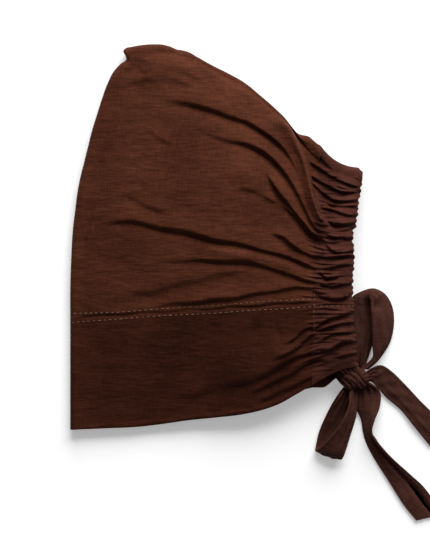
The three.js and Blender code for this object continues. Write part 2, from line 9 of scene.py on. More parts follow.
import bpy
import numpy as np
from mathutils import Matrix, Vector


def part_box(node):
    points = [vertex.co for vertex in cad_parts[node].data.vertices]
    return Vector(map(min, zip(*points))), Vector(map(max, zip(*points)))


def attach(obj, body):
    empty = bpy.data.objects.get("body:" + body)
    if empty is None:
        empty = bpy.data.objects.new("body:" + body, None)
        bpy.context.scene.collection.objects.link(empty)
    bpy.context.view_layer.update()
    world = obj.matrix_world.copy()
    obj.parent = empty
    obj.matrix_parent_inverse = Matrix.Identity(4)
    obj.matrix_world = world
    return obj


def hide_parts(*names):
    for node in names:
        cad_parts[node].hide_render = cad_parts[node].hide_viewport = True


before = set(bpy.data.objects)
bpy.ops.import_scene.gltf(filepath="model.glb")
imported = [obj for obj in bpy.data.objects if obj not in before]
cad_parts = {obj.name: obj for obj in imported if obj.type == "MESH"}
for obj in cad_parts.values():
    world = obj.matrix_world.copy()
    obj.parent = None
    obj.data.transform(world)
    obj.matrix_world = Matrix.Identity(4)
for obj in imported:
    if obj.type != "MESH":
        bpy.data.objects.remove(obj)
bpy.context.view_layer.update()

MM = 0.001            # the cap is worked out in millimetres and built in metres
CHART = 0.6           # fold lines are drawn on a chart of squares this wide, in millimetres
SEED = 11
SPAN_POINTS = 24      # points of a smooth line from one drawn point to the next
FAR_AWAY = 1e9
TINY = 1e-9
SHARP_EDGE = math.radians(58.0)

FOLD_WANDER = 0.35                   # how far a fold's line strays from the one drawn, in millimetres
FOLD_WANDER_LENGTHS = (4.3, 6.1)     # how soon it strays, across and up the cap
FOLD_UNEVENNESS = 0.24               # how much a fold's height changes on its way
FOLD_UNEVEN_WAVES = 11.0
FOLD_LINE_POINTS = 26
FOLD_REACH = 2.8                     # a fold ends at this many times its wider spread
LEAST_FADE = 1e-3

Points = tuple[tuple[float, float], ...]
Rows = tuple[tuple[float, float, float, float, float, float], ...]
CasingRow = tuple[np.ndarray, np.ndarray, np.ndarray]   # outer places, inner places, share of the folds

log = logging.getLogger("underscarf_cap")


# Small geometry


def smooth(value: np.ndarray | float) -> np.ndarray | float:
    """Eases a value from 0 to 1 with flat ends."""
    t = np.clip(value, 0.0, 1.0)
    return t * t * (3.0 - 2.0 * t)


def ease(value: np.ndarray | float, start: float, over: float) -> np.ndarray | float:
    """Eases from 0 to 1 over a stretch that begins at a start."""
    return smooth((value - start) / over)


def mix(a: np.ndarray | float, b: np.ndarray | float, share: np.ndarray | float) -> np.ndarray | float:
    """Goes from a to b by a share."""
    return a + (b - a) * share


def smooth_path(points: np.ndarray, count: int) -> np.ndarray:
    """Draws a smooth line through points of uneven spacing.

    Args:
        points: one row for each point, of any dimension.
        count: how many points the line gets, evenly spaced along it.

    Returns:
        The line's points, one row each.
    """
    points = np.asarray(points, float)
    chord = np.linalg.norm(np.diff(points, axis=0), axis=1)
    slopes = np.diff(points, axis=0) / chord[:, None]
    before, after = chord[:-1, None], chord[1:, None]
    inner = (slopes[:-1] * after + slopes[1:] * before) / (before + after)
    tangents = np.vstack([slopes[:1], inner, slopes[-1:]])
    fine = []
    for i, length in enumerate(chord):
        t = np.linspace(0.0, 1.0, SPAN_POINTS, endpoint=i == len(chord) - 1)[:, None]
        fine.append(
            (2 * t**3 - 3 * t**2 + 1) * points[i]
            + (t**3 - 2 * t**2 + t) * length * tangents[i]
            + (3 * t**2 - 2 * t**3) * points[i + 1]
            + (t**3 - t**2) * length * tangents[i + 1]
        )
    line = np.vstack(fine)
    travelled = np.concatenate([[0.0], np.cumsum(np.linalg.norm(np.diff(line, axis=0), axis=1))])
    wanted = np.linspace(0.0, travelled[-1], count)
    return np.stack([np.interp(wanted, travelled, line[:, k]) for k in range(line.shape[1])], axis=1)


def nearest_on_path(path: np.ndarray, x: np.ndarray, y: np.ndarray) -> tuple[np.ndarray, np.ndarray]:
    """Measures points against a line.

    Args:
        path: the line's points.
        x: the points' x.
        y: the points' y.

    Returns:
        The distance, positive on the left of the line's travel, and the share of the way along.
    """
    best = np.full(x.shape, FAR_AWAY)
    side = np.ones(x.shape)
    along = np.zeros(x.shape)
    for i in range(len(path) - 1):
        dx, dy = path[i + 1] - path[i]
        step = np.clip(((x - path[i, 0]) * dx + (y - path[i, 1]) * dy) / (dx * dx + dy * dy), 0.0, 1.0)
        off_x = x - path[i, 0] - dx * step
        off_y = y - path[i, 1] - dy * step
        distance = np.hypot(off_x, off_y)
        closer = distance < best
        best = np.where(closer, distance, best)
        side = np.where(closer, np.where(dx * off_y - dy * off_x < 0.0, -1.0, 1.0), side)
        along = np.where(closer, (i + step) / (len(path) - 1), along)
    return best * side, along


class FoldForm(Enum):
    """How cloth stands along a fold's line."""

    TUCK = "high on the left of its travel, then a sharp drop"
    VALLEY = "a soft hollow"
    RIDGE = "a soft rise"


@dataclass(frozen=True)
class Fold:
    """One fold of the cloth, drawn on the chart; its heights and widths are in millimetres."""

    line: Points
    height: float
    form: FoldForm = FoldForm.TUCK
    sharp: float = 1.0
    above: float = 7.0
    below: float = 7.0
    fade_in: float = 0.35
    fade_out: float = 0.2

    def relief(self, x: np.ndarray, y: np.ndarray) -> np.ndarray:
        """Gives the fold's height over the cloth.

        Args:
            x: places across the cap, in millimetres.
            y: places up the cap.

        Returns:
            The height that this fold adds at each place.
        """
        drawn = np.array(self.line, float) * CHART
        path = smooth_path(drawn, FOLD_LINE_POINTS) if len(drawn) > 2 else drawn
        reach = FOLD_REACH * max(self.above, self.below)
        low, high = path.min(axis=0) - reach, path.max(axis=0) + reach
        near = (x > low[0]) & (x < high[0]) & (y > low[1]) & (y < high[1])
        height = np.zeros(x.shape)
        if not near.any():
            return height
        distance, along = nearest_on_path(path, x[near], y[near])
        over, up = FOLD_WANDER_LENGTHS
        distance = distance + FOLD_WANDER * np.sin(x[near] / over + y[near] / up + self.line[0][1])
        spread = np.where(distance > 0.0, self.above, self.below)
        bell = np.exp(-((distance / spread) ** 2))
        ends = smooth(along / self.fade_in) * smooth((1.0 - along) / max(self.fade_out, LEAST_FADE))
        ends = ends * (1.0 + FOLD_UNEVENNESS * np.sin(FOLD_UNEVEN_WAVES * along + self.line[0][0]))
        if self.form is FoldForm.TUCK:
            crest = np.tanh(distance / self.sharp)
            height[near] = self.height * crest * bell * ends
        elif self.form is FoldForm.VALLEY:
            height[near] = -self.height * bell * ends
        else:
            height[near] = self.height * bell * ends
        return height


# Folds of the near half, from their soft end to the casing. Chart places: across from the midline
# fold, up from the seam's end.
CROWN_FOLDS = (
    Fold(((88, 217), (115, 213), (135, 208), (160, 200), (177, 194), (188, 187), (200, 179), (213, 167),
         (222, 152), (230, 134)), 1.8, sharp=0.6, above=14.0, below=4.0, fade_in=0.3, fade_out=0.3),
    Fold(((122, 190), (141, 181), (160, 175), (182, 170), (193, 165), (207, 153), (217, 140), (227, 123),
         (235, 106), (243, 91), (256, 81)), 2.0, sharp=0.6, above=8.0, below=4.0, fade_in=0.4,
         fade_out=0.1),
    Fold(((194, 149), (197, 143), (205, 129), (217, 114), (230, 98), (242, 84), (256, 75)), 2.4, sharp=0.55,
         above=5.5, below=4.2, fade_in=0.3, fade_out=0.1),
    Fold(((206, 115), (214, 109), (224, 100), (237, 87), (249, 79)), 1.2, sharp=0.5, above=2.6, below=3.0),
    Fold(((162, 130), (179, 126), (197, 118), (210, 111)), 0.5, sharp=0.9, above=4.0, below=4.0),
    Fold(((198, 85), (212, 80), (220, 73), (232, 65), (245, 61), (256, 64)), 1.7, sharp=0.6, above=3.5,
         below=4.5, fade_in=0.2),
    Fold(((28, 93), (40, 95), (57, 96), (85, 91), (112, 86), (145, 78), (160, 75), (185, 69), (210, 63),
         (227, 56), (249, 47)), 1.7, sharp=0.55, above=9.0, below=3.4, fade_in=0.16, fade_out=0.08),
    Fold(((72, 50), (92, 55), (120, 57), (145, 57), (160, 57), (193, 52), (217, 44), (232, 38), (251, 34)),
         1.4, sharp=0.5, above=6.0, below=3.6, fade_in=0.5, fade_out=0.08),
    Fold(((60, 8), (105, 14), (145, 18), (182, 23), (210, 28), (232, 30), (250, 26), (265, 20)), 1.2,
         sharp=0.6, above=5.0, below=3.4, fade_in=0.4, fade_out=0.2),
    Fold(((44, 123), (64, 118), (80, 110), (102, 105)), 0.55, sharp=1.0, above=6.0, below=6.0),
    Fold(((76, 185), (90, 179), (104, 170)), 0.45, sharp=1.2, above=5.0, below=5.0),
    Fold(((30, 18), (80, 25), (130, 38), (185, 50)), 0.7, sharp=1.6, above=8.0, below=8.0),
    Fold(((90, 249), (119, 242), (137, 232)), 0.5, sharp=1.4, above=6.0, below=6.0),
    Fold(((42, 225), (68, 235), (102, 237), (128, 227)), 0.6, sharp=1.6, above=7.0, below=7.0),
    Fold(((55, 260), (68, 258), (84, 253)), 0.9, sharp=0.8, above=4.0, below=5.0, fade_in=0.02,
         fade_out=0.6),
    Fold(((150, 150), (175, 143), (196, 130), (214, 104)), 1.0, form=FoldForm.RIDGE, above=6.0, below=6.0),
    Fold(((62, 268), (90, 268), (122, 258), (152, 243), (182, 224), (205, 204)), 2.2, form=FoldForm.RIDGE,
         above=8.0, below=22.0, fade_in=0.1, fade_out=0.3),
    Fold(((110, 72), (150, 66), (190, 60), (236, 46)), 0.9, form=FoldForm.RIDGE, above=3.0, below=3.0),
    Fold(((0, 0), (80, 5), (160, 10), (243, 15.5)), 0.9, form=FoldForm.VALLEY, above=0.9, below=0.9,
         fade_in=0.05, fade_out=0.05),
)

# The near half laps over the gathers behind it, high on the side of the midline fold
LAP = Fold(((262, 91), (251, 101), (247, 111), (243, 125), (240, 141), (235, 158), (227, 176), (218, 193),
           (208, 208)), 5.6, sharp=0.75, above=6.0, below=10.0, fade_in=0.1, fade_out=0.12)
LAP_RIM = Fold(((258, 90), (248, 101), (244, 112), (240.5, 126), (237, 141), (232, 157), (224, 174),
               (215, 191)), 1.0, form=FoldForm.RIDGE, above=1.3, below=1.5, fade_in=0.15, fade_out=0.3)
LAP_GROOVE = Fold(((252, 86), (243, 96), (238, 108), (233.5, 124), (229, 140), (222, 157)), 0.9,
                  form=FoldForm.VALLEY, above=1.8, below=2.2, fade_in=0.2, fade_out=0.4)

CASING_FOLDS = (
    Fold(((238, 156), (253, 146), (260, 141), (273, 135), (292, 130)), 1.1, sharp=0.35, above=2.2,
         below=2.4, fade_in=0.1, fade_out=0.02),
    Fold(((252, 167), (254, 159), (260, 150), (267, 148), (290, 138)), 1.2, sharp=0.4, above=2.4, below=2.6,
         fade_in=0.1, fade_out=0.02),
    Fold(((258, 151), (273, 153), (292, 150)), 1.1, sharp=0.35, above=2.2, below=2.0, fade_out=0.02),
    Fold(((254, 163), (266, 157), (280, 155), (290, 156)), 0.9, sharp=0.35, above=2.0, below=2.0,
         fade_out=0.1),
    Fold(((240, 143), (250, 136), (260, 130), (268, 126), (293, 126)), 1.3, sharp=0.35, above=2.0,
         below=2.4, fade_in=0.08, fade_out=0.02),
    Fold(((262, 133), (275, 129), (293, 127)), 0.7, sharp=0.3, above=1.4, below=1.4, fade_out=0.02),
    Fold(((241, 136), (253, 125), (263, 118), (277, 116), (292, 118)), 1.3, sharp=0.35, above=2.2,
         below=2.4, fade_in=0.08, fade_out=0.02),
    Fold(((250, 118), (264, 112), (290, 111)), 0.8, sharp=0.3, above=1.6, below=1.6, fade_out=0.02),
    Fold(((248, 110), (260, 108), (273, 104), (290, 101)), 1.1, sharp=0.3, above=1.8, below=1.8,
         fade_in=0.1, fade_out=0.02),
    Fold(((248, 101), (260, 95), (273, 93), (289, 95)), 1.5, sharp=0.35, above=2.6, below=2.8,
         fade_out=0.02),
    Fold(((250, 85), (263, 80), (275, 79), (287, 80)), 1.2, sharp=0.35, above=2.6, below=2.4,
         fade_out=0.02),
    Fold(((252, 88), (262, 87), (286, 89)), 0.6, sharp=0.3, above=1.4, below=1.4, fade_out=0.02),
    Fold(((255, 73), (263, 66), (273, 65), (285, 67)), 1.2, sharp=0.3, above=1.8, below=1.8, fade_in=0.1,
         fade_out=0.02),
    Fold(((247, 61), (260, 61), (286, 62)), 1.6, sharp=0.35, above=2.2, below=2.4, fade_out=0.02),
    Fold(((247, 48), (260, 51), (273, 53), (285, 51)), 1.0, sharp=0.35, above=2.4, below=2.2,
         fade_out=0.02),
    Fold(((248, 46), (255, 40), (268, 41)), 1.3, sharp=0.3, above=1.6, below=1.6, fade_in=0.08),
    Fold(((248, 35), (257, 31), (270, 34), (286, 35)), 1.2, sharp=0.35, above=2.0, below=2.2, fade_in=0.08,
         fade_out=0.02),
    Fold(((240, 26), (253, 21), (267, 20), (286, 23)), 1.2, sharp=0.4, above=2.6, below=2.2, fade_out=0.02),
    Fold(((240, -12), (256, -2), (270, 3), (286, 8)), 1.3, sharp=0.45, above=3.0, below=2.6, fade_in=0.15,
         fade_out=0.02),
    Fold(((242, -15), (260, -7), (288, -4)), 1.2, sharp=0.35, above=2.0, below=2.4, fade_in=0.15,
         fade_out=0.02),
    Fold(((246, -24), (262, -16), (290, -13)), 0.8, sharp=0.35, above=2.0, below=2.0, fade_in=0.15,
         fade_out=0.02),
    Fold(((248, -31), (260, -30), (269, -25), (292, -22)), 1.6, sharp=0.4, above=2.8, below=2.8,
         fade_in=0.2, fade_out=0.02),
    Fold(((262, -41), (276, -36), (292, -33)), 1.0, sharp=0.35, above=2.2, below=2.4, fade_out=0.02),
)

BAND_FOLDS = (
    Fold(((152, -65), (176, -65), (205, -50), (230, -37), (256, -33)), 1.7, sharp=0.9, above=6.5, below=5.0,
         fade_in=0.45, fade_out=0.1),
    Fold(((198, -45), (216, -35), (230, -27), (244, -14)), 1.5, sharp=0.6, above=3.5, below=4.0,
         fade_out=0.1),
    Fold(((168, -80), (200, -66), (225, -53), (242, -42), (256, -37)), 1.5, sharp=1.0, above=4.5, below=5.5,
         fade_in=0.5, fade_out=0.1),
    Fold(((212, -27), (224, -20), (234, -12), (243, -8)), 1.0, sharp=0.5, above=3.0, below=3.0,
         fade_out=0.1),
    Fold(((182, -86), (207, -76), (225, -67), (247, -57)), 1.1, sharp=1.1, above=4.5, below=4.5,
         fade_out=0.1),
    Fold(((185, 4), (185, -14), (184, -34)), 0.8, form=FoldForm.VALLEY, above=2.8, below=2.8, fade_in=0.4,
         fade_out=0.5),
    Fold(((204, 2), (206, -12), (209, -32)), 0.7, form=FoldForm.VALLEY, above=2.6, below=2.6, fade_in=0.4,
         fade_out=0.5),
    Fold(((10, -27), (50, -32), (60, -22)), 0.5, form=FoldForm.VALLEY, above=5.0, below=5.0),
    Fold(((80, -44), (95, -47)), 0.4, form=FoldForm.VALLEY, above=5.0, below=5.0),
    Fold(((100, -84), (145, -72), (185, -60)), 0.6, sharp=1.8, above=8.0, below=8.0),
    Fold(((130, -58), (175, -50), (205, -40), (238, -26)), 3.2, form=FoldForm.RIDGE, above=14.0, below=12.0,
         fade_in=0.6, fade_out=0.25),
)


@dataclass(frozen=True)
class FineGathers:
    """The short gathers that cross the casing's stitch line, fanned like the large folds, on the chart."""

    lowest: float = -52.0
    highest: float = 148.0
    lean_heights: tuple[float, ...] = (-50, -20, 10, 45, 80, 115)
    leans: tuple[float, ...] = (-0.75, -0.55, -0.12, 0.25, 0.75, 1.2)
    line: float = 243.0
    line_lean: float = 7.0
    crowded_above: float = 95.0
    crowded_back: tuple[float, float] = (3.0, 6.0)
    back: tuple[float, float] = (8.0, 26.0)
    bend: tuple[float, float] = (0.4, 0.33)
    past_line: float = 4.0
    ahead: tuple[float, float] = (12.0, 42.0)
    drift: tuple[float, float] = (-2.5, 2.5)
    spread: tuple[float, float] = (0.9, 1.6)
    rise: tuple[float, float] = (0.3, 0.75)
    spacing: tuple[float, float] = (2.8, 5.6)
    sharp: float = 0.3
    fades: tuple[float, float] = (0.4, 0.3)

    def lay(self) -> tuple[Fold, ...]:
        """Lays the gathers from the casing's foot to its top.

        Returns:
            The gathers.
        """
        chance = np.random.default_rng(SEED)
        made = []
        height = self.lowest
        while height < self.highest:
            lean = float(np.interp(height, self.lean_heights, self.leans))
            line = self.line + self.line_lean * max(height, 0.0) ** 2 / self.highest**2
            back = chance.uniform(*(self.crowded_back if height > self.crowded_above else self.back))
            ahead = chance.uniform(*self.ahead)
            drift = chance.uniform(*self.drift)
            route = (
                (line - back, height + lean * back),
                (line - self.bend[0] * back, height + self.bend[1] * lean * back),
                (line + self.past_line, height),
                (line + ahead, height + drift),
            )
            wide = chance.uniform(*self.spread)
            made.append(Fold(route, chance.uniform(*self.rise), sharp=self.sharp, above=wide, below=wide,
                             fade_in=self.fades[0], fade_out=self.fades[1]))
            height += chance.uniform(*self.spacing)
        return tuple(made)


# The pressed hem along the near half's face edge
HEM = Fold(((2, -109.6), (35, -108.2), (68, -106.7), (90, -104.2), (117, -100.2), (145, -97.2),
           (170, -94.2), (187, -90.7), (207, -83.8), (224, -74.3), (240, -64.5), (256, -58.5), (274, -52.5),
           (290, -48.5)), 0.5, form=FoldForm.RIDGE, above=1.5, below=1.1, fade_in=0.03, fade_out=0.03)

NEAR_FOLDS = CROWN_FOLDS + (LAP, LAP_RIM, LAP_GROOVE, HEM) + CASING_FOLDS + BAND_FOLDS + FineGathers().lay()


@dataclass(frozen=True)
class LooseDrift:
    """The slow rise and fall of loose cloth: three waves, with heights and lengths in millimetres."""

    heights: tuple[float, float, float] = (0.30, 0.26, 0.12)
    across: float = 13.0
    across_bend: tuple[float, float] = (0.6, 19.0)
    up: float = 11.0
    up_start: float = 1.3
    up_bend: tuple[float, float] = (0.8, 23.0)
    slant: tuple[float, float] = (5.3, 7.9)
    slant_start: float = 0.4
    comes_in_over: float = 18.0

    def relief(self, x: np.ndarray, y: np.ndarray) -> np.ndarray:
        """Gives the drift's height over the cloth.

        Args:
            x: places across the cap, in millimetres.
            y: places up the cap.

        Returns:
            The height at each place.
        """
        (bend, bend_length), (lean, lean_length) = self.across_bend, self.up_bend
        waves = (
            np.sin(x / self.across + bend * np.sin(y / bend_length)),
            np.sin(y / self.up + self.up_start + lean * np.sin(x / lean_length)),
            np.sin(x / self.slant[0] - y / self.slant[1] + self.slant_start),
        )
        total = sum(height * wave for height, wave in zip(self.heights, waves))
        return total * smooth(x / self.comes_in_over)


def near_relief(x: np.ndarray, y: np.ndarray) -> np.ndarray:
    """Adds up the near half's folds and the slow drift of loose cloth.

    Args:
        x: places across the cap, in millimetres.
        y: places up the cap.

    Returns:
        The height over the plain lie of the cloth.
    """
    total = np.zeros(x.shape)
    for fold in NEAR_FOLDS:
        total += fold.relief(x, y)
    return total + LooseDrift().relief(x, y)


# Sizes


@dataclass(frozen=True)
class CapPlan:
    """The cap's sizes in millimetres, from the midline fold and the seam's end on it."""

    panel_width: float = 145.0
    crown_height: float = 164.0
    band_height: float = 67.0
    seam_rise: float = 9.3
    casing_rise: float = 94.0
    casing_width: float = 25.0
    casing_top_fall: float = 13.0
    near_edge_rise: float = 27.0
    far_edge_rise: float = 25.0
    near_end_rise: float = 11.0
    far_end_rise: float = 6.0
    far_foot_width: float = 16.5
    nape_lean: float = 5.6
    fold_radius: float = 3.3
    nape_fold_radius: float = 5.4
    nape_loft: float = 20.0
    foot_loft: float = 13.0
    crown_puff: float = 5.5
    seam_gap: float = -0.1
    foot_share: float = 1.10
    origin: tuple[float, float] = (0.0, 0.0)

    @property
    def nape_top(self) -> float:
        """Height of the casing's top along its stitch line."""
        return self.seam_rise + self.casing_rise

    @property
    def near_foot(self) -> float:
        """Height of the near casing end at the stitch line."""
        return self.near_edge_rise - self.band_height

    @property
    def far_foot(self) -> float:
        """Height of the far casing end at the stitch line."""
        return self.far_edge_rise - self.band_height

    @property
    def foot_reach(self) -> float:
        """How far the casing's outer edge stands out at its foot."""
        return self.casing_width * self.foot_share

    def stitch_line(self, y: np.ndarray | float) -> np.ndarray | float:
        """Gives the casing's stitch line: its x at height y."""
        climbed = np.clip((y - self.seam_rise) / self.casing_rise, 0.0, 1.0)
        return self.panel_width + self.nape_lean * climbed * climbed

    def nape_height(self, share: np.ndarray | float) -> np.ndarray | float:
        """Gives the near half's height along the stitch line, from its foot to the top fold."""
        end = mix(self.foot_loft, 2.0 * self.nape_fold_radius, share)
        return end + (self.nape_loft - end) * (1.0 - (2.0 * share - 1.0) ** 2)

    def share_at_nape(self, y: np.ndarray | float) -> np.ndarray | float:
        """Gives the share of the way up the stitch line at height y."""
        reach = self.nape_top - self.nape_fold_radius - self.near_foot
        return np.clip((y - self.near_foot) / reach, 0.0, 1.0)

    def to_frame(self, points: np.ndarray) -> np.ndarray:
        """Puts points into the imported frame.

        Args:
            points: places in millimetres from the seam's end, with x, y and z last.

        Returns:
            The same places in the frame, in metres.
        """
        moved = np.array(points, float)
        moved[..., :3] *= MM
        moved[..., 0] += self.origin[0]
        moved[..., 1] += self.origin[1]
        return moved


def plan_from_frame() -> CapPlan:
    """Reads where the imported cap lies.

    Returns:
        The plan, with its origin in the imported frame.
    """
    sizes = CapPlan()
    crown_low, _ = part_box("crown")
    band_low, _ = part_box("front_band")
    return CapPlan(origin=(crown_low.x, band_low.y + sizes.band_height * MM))


# Meshes


def link(mesh: bpy.types.Mesh, name: str) -> bpy.types.Object:
    """Puts a mesh into the scene as an object at the origin.

    Args:
        mesh: the piece's mesh.
        name: the piece's name.

    Returns:
        The object.
    """
    made = bpy.data.objects.new(name, mesh)
    bpy.context.scene.collection.objects.link(made)
    return made


def wall_object(name: str, outer: np.ndarray, inner: np.ndarray, weave: np.ndarray) -> bpy.types.Object:
    """Closes a cloth wall between two grids of points.

    Args:
        name: the piece's name.
        outer: rows by columns by 3, in metres.
        inner: the same for the other face.
        weave: rows by columns by 2, each point's place on the flat cloth, in millimetres.

    Returns:
        The wall as an object, facing outwards.
    """
    rows, columns = outer.shape[:2]
    points = np.concatenate([outer.reshape(-1, 3), inner.reshape(-1, 3)])
    top = np.arange(rows * columns).reshape(rows, columns)
    under = top + rows * columns
    quads = [
        np.stack([top[:-1, :-1], top[1:, :-1], top[1:, 1:], top[:-1, 1:]], axis=-1).reshape(-1, 4),
        np.stack([under[:-1, :-1], under[:-1, 1:], under[1:, 1:], under[1:, :-1]], axis=-1).reshape(-1, 4),
        np.stack([top[1:, 0], top[:-1, 0], under[:-1, 0], under[1:, 0]], axis=-1),
        np.stack([top[:-1, -1], top[1:, -1], under[1:, -1], under[:-1, -1]], axis=-1),
        np.stack([top[0, :-1], top[0, 1:], under[0, 1:], under[0, :-1]], axis=-1),
        np.stack([top[-1, 1:], top[-1, :-1], under[-1, :-1], under[-1, 1:]], axis=-1),
    ]
    faces = np.concatenate(quads)
    return cloth_object(name, points, faces, np.concatenate([weave.reshape(-1, 2)] * 2))


def cloth_object(name: str, points: np.ndarray, faces: np.ndarray, weave: np.ndarray) -> bpy.types.Object:
    """Makes a closed cloth mesh that faces outwards and knows its weave.

    Args:
        name: the piece's name.
        points: its points, in metres.
        faces: its four-sided faces.
        weave: each point's place on the flat cloth, in millimetres.

    Returns:
        The object.
    """
    centred = points - points.mean(axis=0)
    a, b, c, d = (centred[faces[:, k]] for k in range(4))
    volume = (a * np.cross(b, c)).sum() + (a * np.cross(c, d)).sum()
    if volume < 0.0:
        faces = faces[:, ::-1]
    mesh = bpy.data.meshes.new(name)
    mesh.from_pydata(points.tolist(), [], faces.tolist())
    place = mesh.attributes.new("cloth_place", "FLOAT_VECTOR", "POINT")
    flat = np.zeros((len(points), 3), np.float32)
    flat[:, :2] = weave
    place.data.foreach_set("vector", flat.ravel())
    mesh.shade_smooth()
    mesh.set_sharp_from_angle(angle=SHARP_EDGE)
    mesh.update()
    return link(mesh, name)


def cloth_area(piece: bpy.types.Object) -> float:
    """Measures a closed cloth wall.

    Args:
        piece: the wall's object.

    Returns:
        Half its surface, in square metres.
    """
    return sum(face.area for face in piece.data.polygons) / 2.0


# Finishes


ALONG_WARP = (0.12, 1.2, 1.0)       # how often the slubs change along each axis, per millimetre
ALONG_WEFT = (1.2, 0.12, 1.0)
SLUB_DETAIL = 2.0
WARP_SLUB, WEFT_SLUB = 1.2, 0.8     # how strongly each shows
CROSSING_TONE = 0.20                # how much the threads' crossings change the tone
CROSSING_HEIGHT = 0.35              # and the height
DYE_CLOUDS = (0.035, 0.035, 1.0)
DYE_DETAIL = 3.0
LONG_CRUSH = (0.05, 0.16, 1.0)
LONG_CRUSH_DETAIL = 3.0
LONG_CRUSH_TURN = 0.25
FINE_CRUSH = (0.22, 0.4, 1.0)
FINE_CRUSH_DETAIL = 2.0
FINE_CRUSH_TURN = -0.35
FINE_CRUSH_SHARE = 0.3


def group_socket(tree: bpy.types.NodeTree, name: str, way: str, kind: str,
                 value: float | None = None) -> None:
    """Adds a named socket to a node group.

    Args:
        tree: the node group.
        name: the socket's name.
        way: INPUT or OUTPUT.
        kind: Blender's name of its type.
        value: what it holds when nothing is linked.
    """
    made = tree.interface.new_socket(name, in_out=way, socket_type=kind)
    if value is not None:
        made.default_value = value


def math_node(tree: bpy.types.NodeTree, operation: str, first: object, second: object = None,
              third: object = None) -> bpy.types.NodeSocket:
    """Adds a math node fed by sockets or numbers.

    Args:
        tree: the tree it goes into.
        operation: Blender's name of the operation.
        first: a socket or a number.
        second: the same, where the operation takes two.
        third: the same, where the operation takes three.

    Returns:
        Its output.
    """
    node = tree.nodes.new("ShaderNodeMath")
    node.operation = operation
    for socket, value in zip(node.inputs, (first, second, third)):
        if isinstance(value, bpy.types.NodeSocket):
            tree.links.new(value, socket)
        elif value is not None:
            socket.default_value = value
    return node.outputs[0]


def stretched_noise(tree: bpy.types.NodeTree, place: bpy.types.NodeSocket, scale: tuple[float, float, float],
                    detail: float, turn: float = 0.0) -> bpy.types.NodeSocket:
    """Adds noise that runs along one direction of the cloth.

    Args:
        tree: the tree it goes into.
        place: the cloth's own coordinates, in millimetres.
        scale: how often it changes along each axis.
        detail: how fine it goes.
        turn: the direction's turn in the cloth, in radians.

    Returns:
        The noise's value.
    """
    mapping = tree.nodes.new("ShaderNodeMapping")
    mapping.inputs["Rotation"].default_value = (0.0, 0.0, turn)
    mapping.inputs["Scale"].default_value = scale
    noise = tree.nodes.new("ShaderNodeTexNoise")
    noise.inputs["Scale"].default_value = 1.0
    noise.inputs["Detail"].default_value = detail
    tree.links.new(place, mapping.inputs["Vector"])
    tree.links.new(mapping.outputs[0], noise.inputs["Vector"])
    return noise.outputs["Fac"]


def woven_cotton_group() -> bpy.types.NodeTree:
    """Builds the plain weave that every cloth finish shares.

    Returns:
        A node group that gives the threads' height, their slubs and the cloth's uneven dye.
    """
    tree = bpy.data.node_groups.new("woven_cotton", "ShaderNodeTree")
    group_socket(tree, "Cloth Place", "INPUT", "NodeSocketVector")
    group_socket(tree, "Thread Pitch", "INPUT", "NodeSocketFloat", 0.5)
    group_socket(tree, "Slub", "INPUT", "NodeSocketFloat", 0.5)
    group_socket(tree, "Height", "OUTPUT", "NodeSocketFloat")
    group_socket(tree, "Thread Tone", "OUTPUT", "NodeSocketFloat")
    group_socket(tree, "Dye", "OUTPUT", "NodeSocketFloat")
    inside = tree.nodes.new("NodeGroupInput")
    outside = tree.nodes.new("NodeGroupOutput")
    split = tree.nodes.new("ShaderNodeSeparateXYZ")
    tree.links.new(inside.outputs["Cloth Place"], split.inputs[0])
    angle = math_node(tree, "DIVIDE", math.pi, inside.outputs["Thread Pitch"])
    warp = math_node(tree, "SINE", math_node(tree, "MULTIPLY", split.outputs["X"], angle))
    weft = math_node(tree, "SINE", math_node(tree, "MULTIPLY", split.outputs["Y"], angle))
    crossing = math_node(tree, "MULTIPLY", warp, weft)
    long_slub = stretched_noise(tree, inside.outputs["Cloth Place"], ALONG_WARP, SLUB_DETAIL)
    cross_slub = stretched_noise(tree, inside.outputs["Cloth Place"], ALONG_WEFT, SLUB_DETAIL)
    mixed = math_node(tree, "ADD", math_node(tree, "MULTIPLY", long_slub, WARP_SLUB),
                      math_node(tree, "MULTIPLY", cross_slub, WEFT_SLUB))
    slubs = math_node(tree, "MULTIPLY", mixed, inside.outputs["Slub"])
    tone = math_node(tree, "MULTIPLY_ADD", crossing, CROSSING_TONE, slubs)
    dye = stretched_noise(tree, inside.outputs["Cloth Place"], DYE_CLOUDS, DYE_DETAIL)
    raised = math_node(tree, "MULTIPLY", crossing, CROSSING_HEIGHT)
    tree.links.new(math_node(tree, "ADD", raised, slubs), outside.inputs["Height"])
    tree.links.new(tone, outside.inputs["Thread Tone"])
    tree.links.new(dye, outside.inputs["Dye"])
    return tree


def crush_group() -> bpy.types.NodeTree:
    """Builds the fine crush marks of soft cotton that has been worn and laid down.

    Returns:
        A node group that gives their height.
    """
    tree = bpy.data.node_groups.new("soft_crush", "ShaderNodeTree")
    group_socket(tree, "Cloth Place", "INPUT", "NodeSocketVector")
    group_socket(tree, "Strength", "INPUT", "NodeSocketFloat", 1.0)
    group_socket(tree, "Height", "OUTPUT", "NodeSocketFloat")
    inside = tree.nodes.new("NodeGroupInput")
    outside = tree.nodes.new("NodeGroupOutput")
    place = inside.outputs["Cloth Place"]
    along = stretched_noise(tree, place, LONG_CRUSH, LONG_CRUSH_DETAIL, LONG_CRUSH_TURN)
    fine = stretched_noise(tree, place, FINE_CRUSH, FINE_CRUSH_DETAIL, FINE_CRUSH_TURN)
    both = math_node(tree, "MULTIPLY_ADD", fine, FINE_CRUSH_SHARE, along)
    tree.links.new(math_node(tree, "MULTIPLY", both, inside.outputs["Strength"]), outside.inputs["Height"])
    return tree


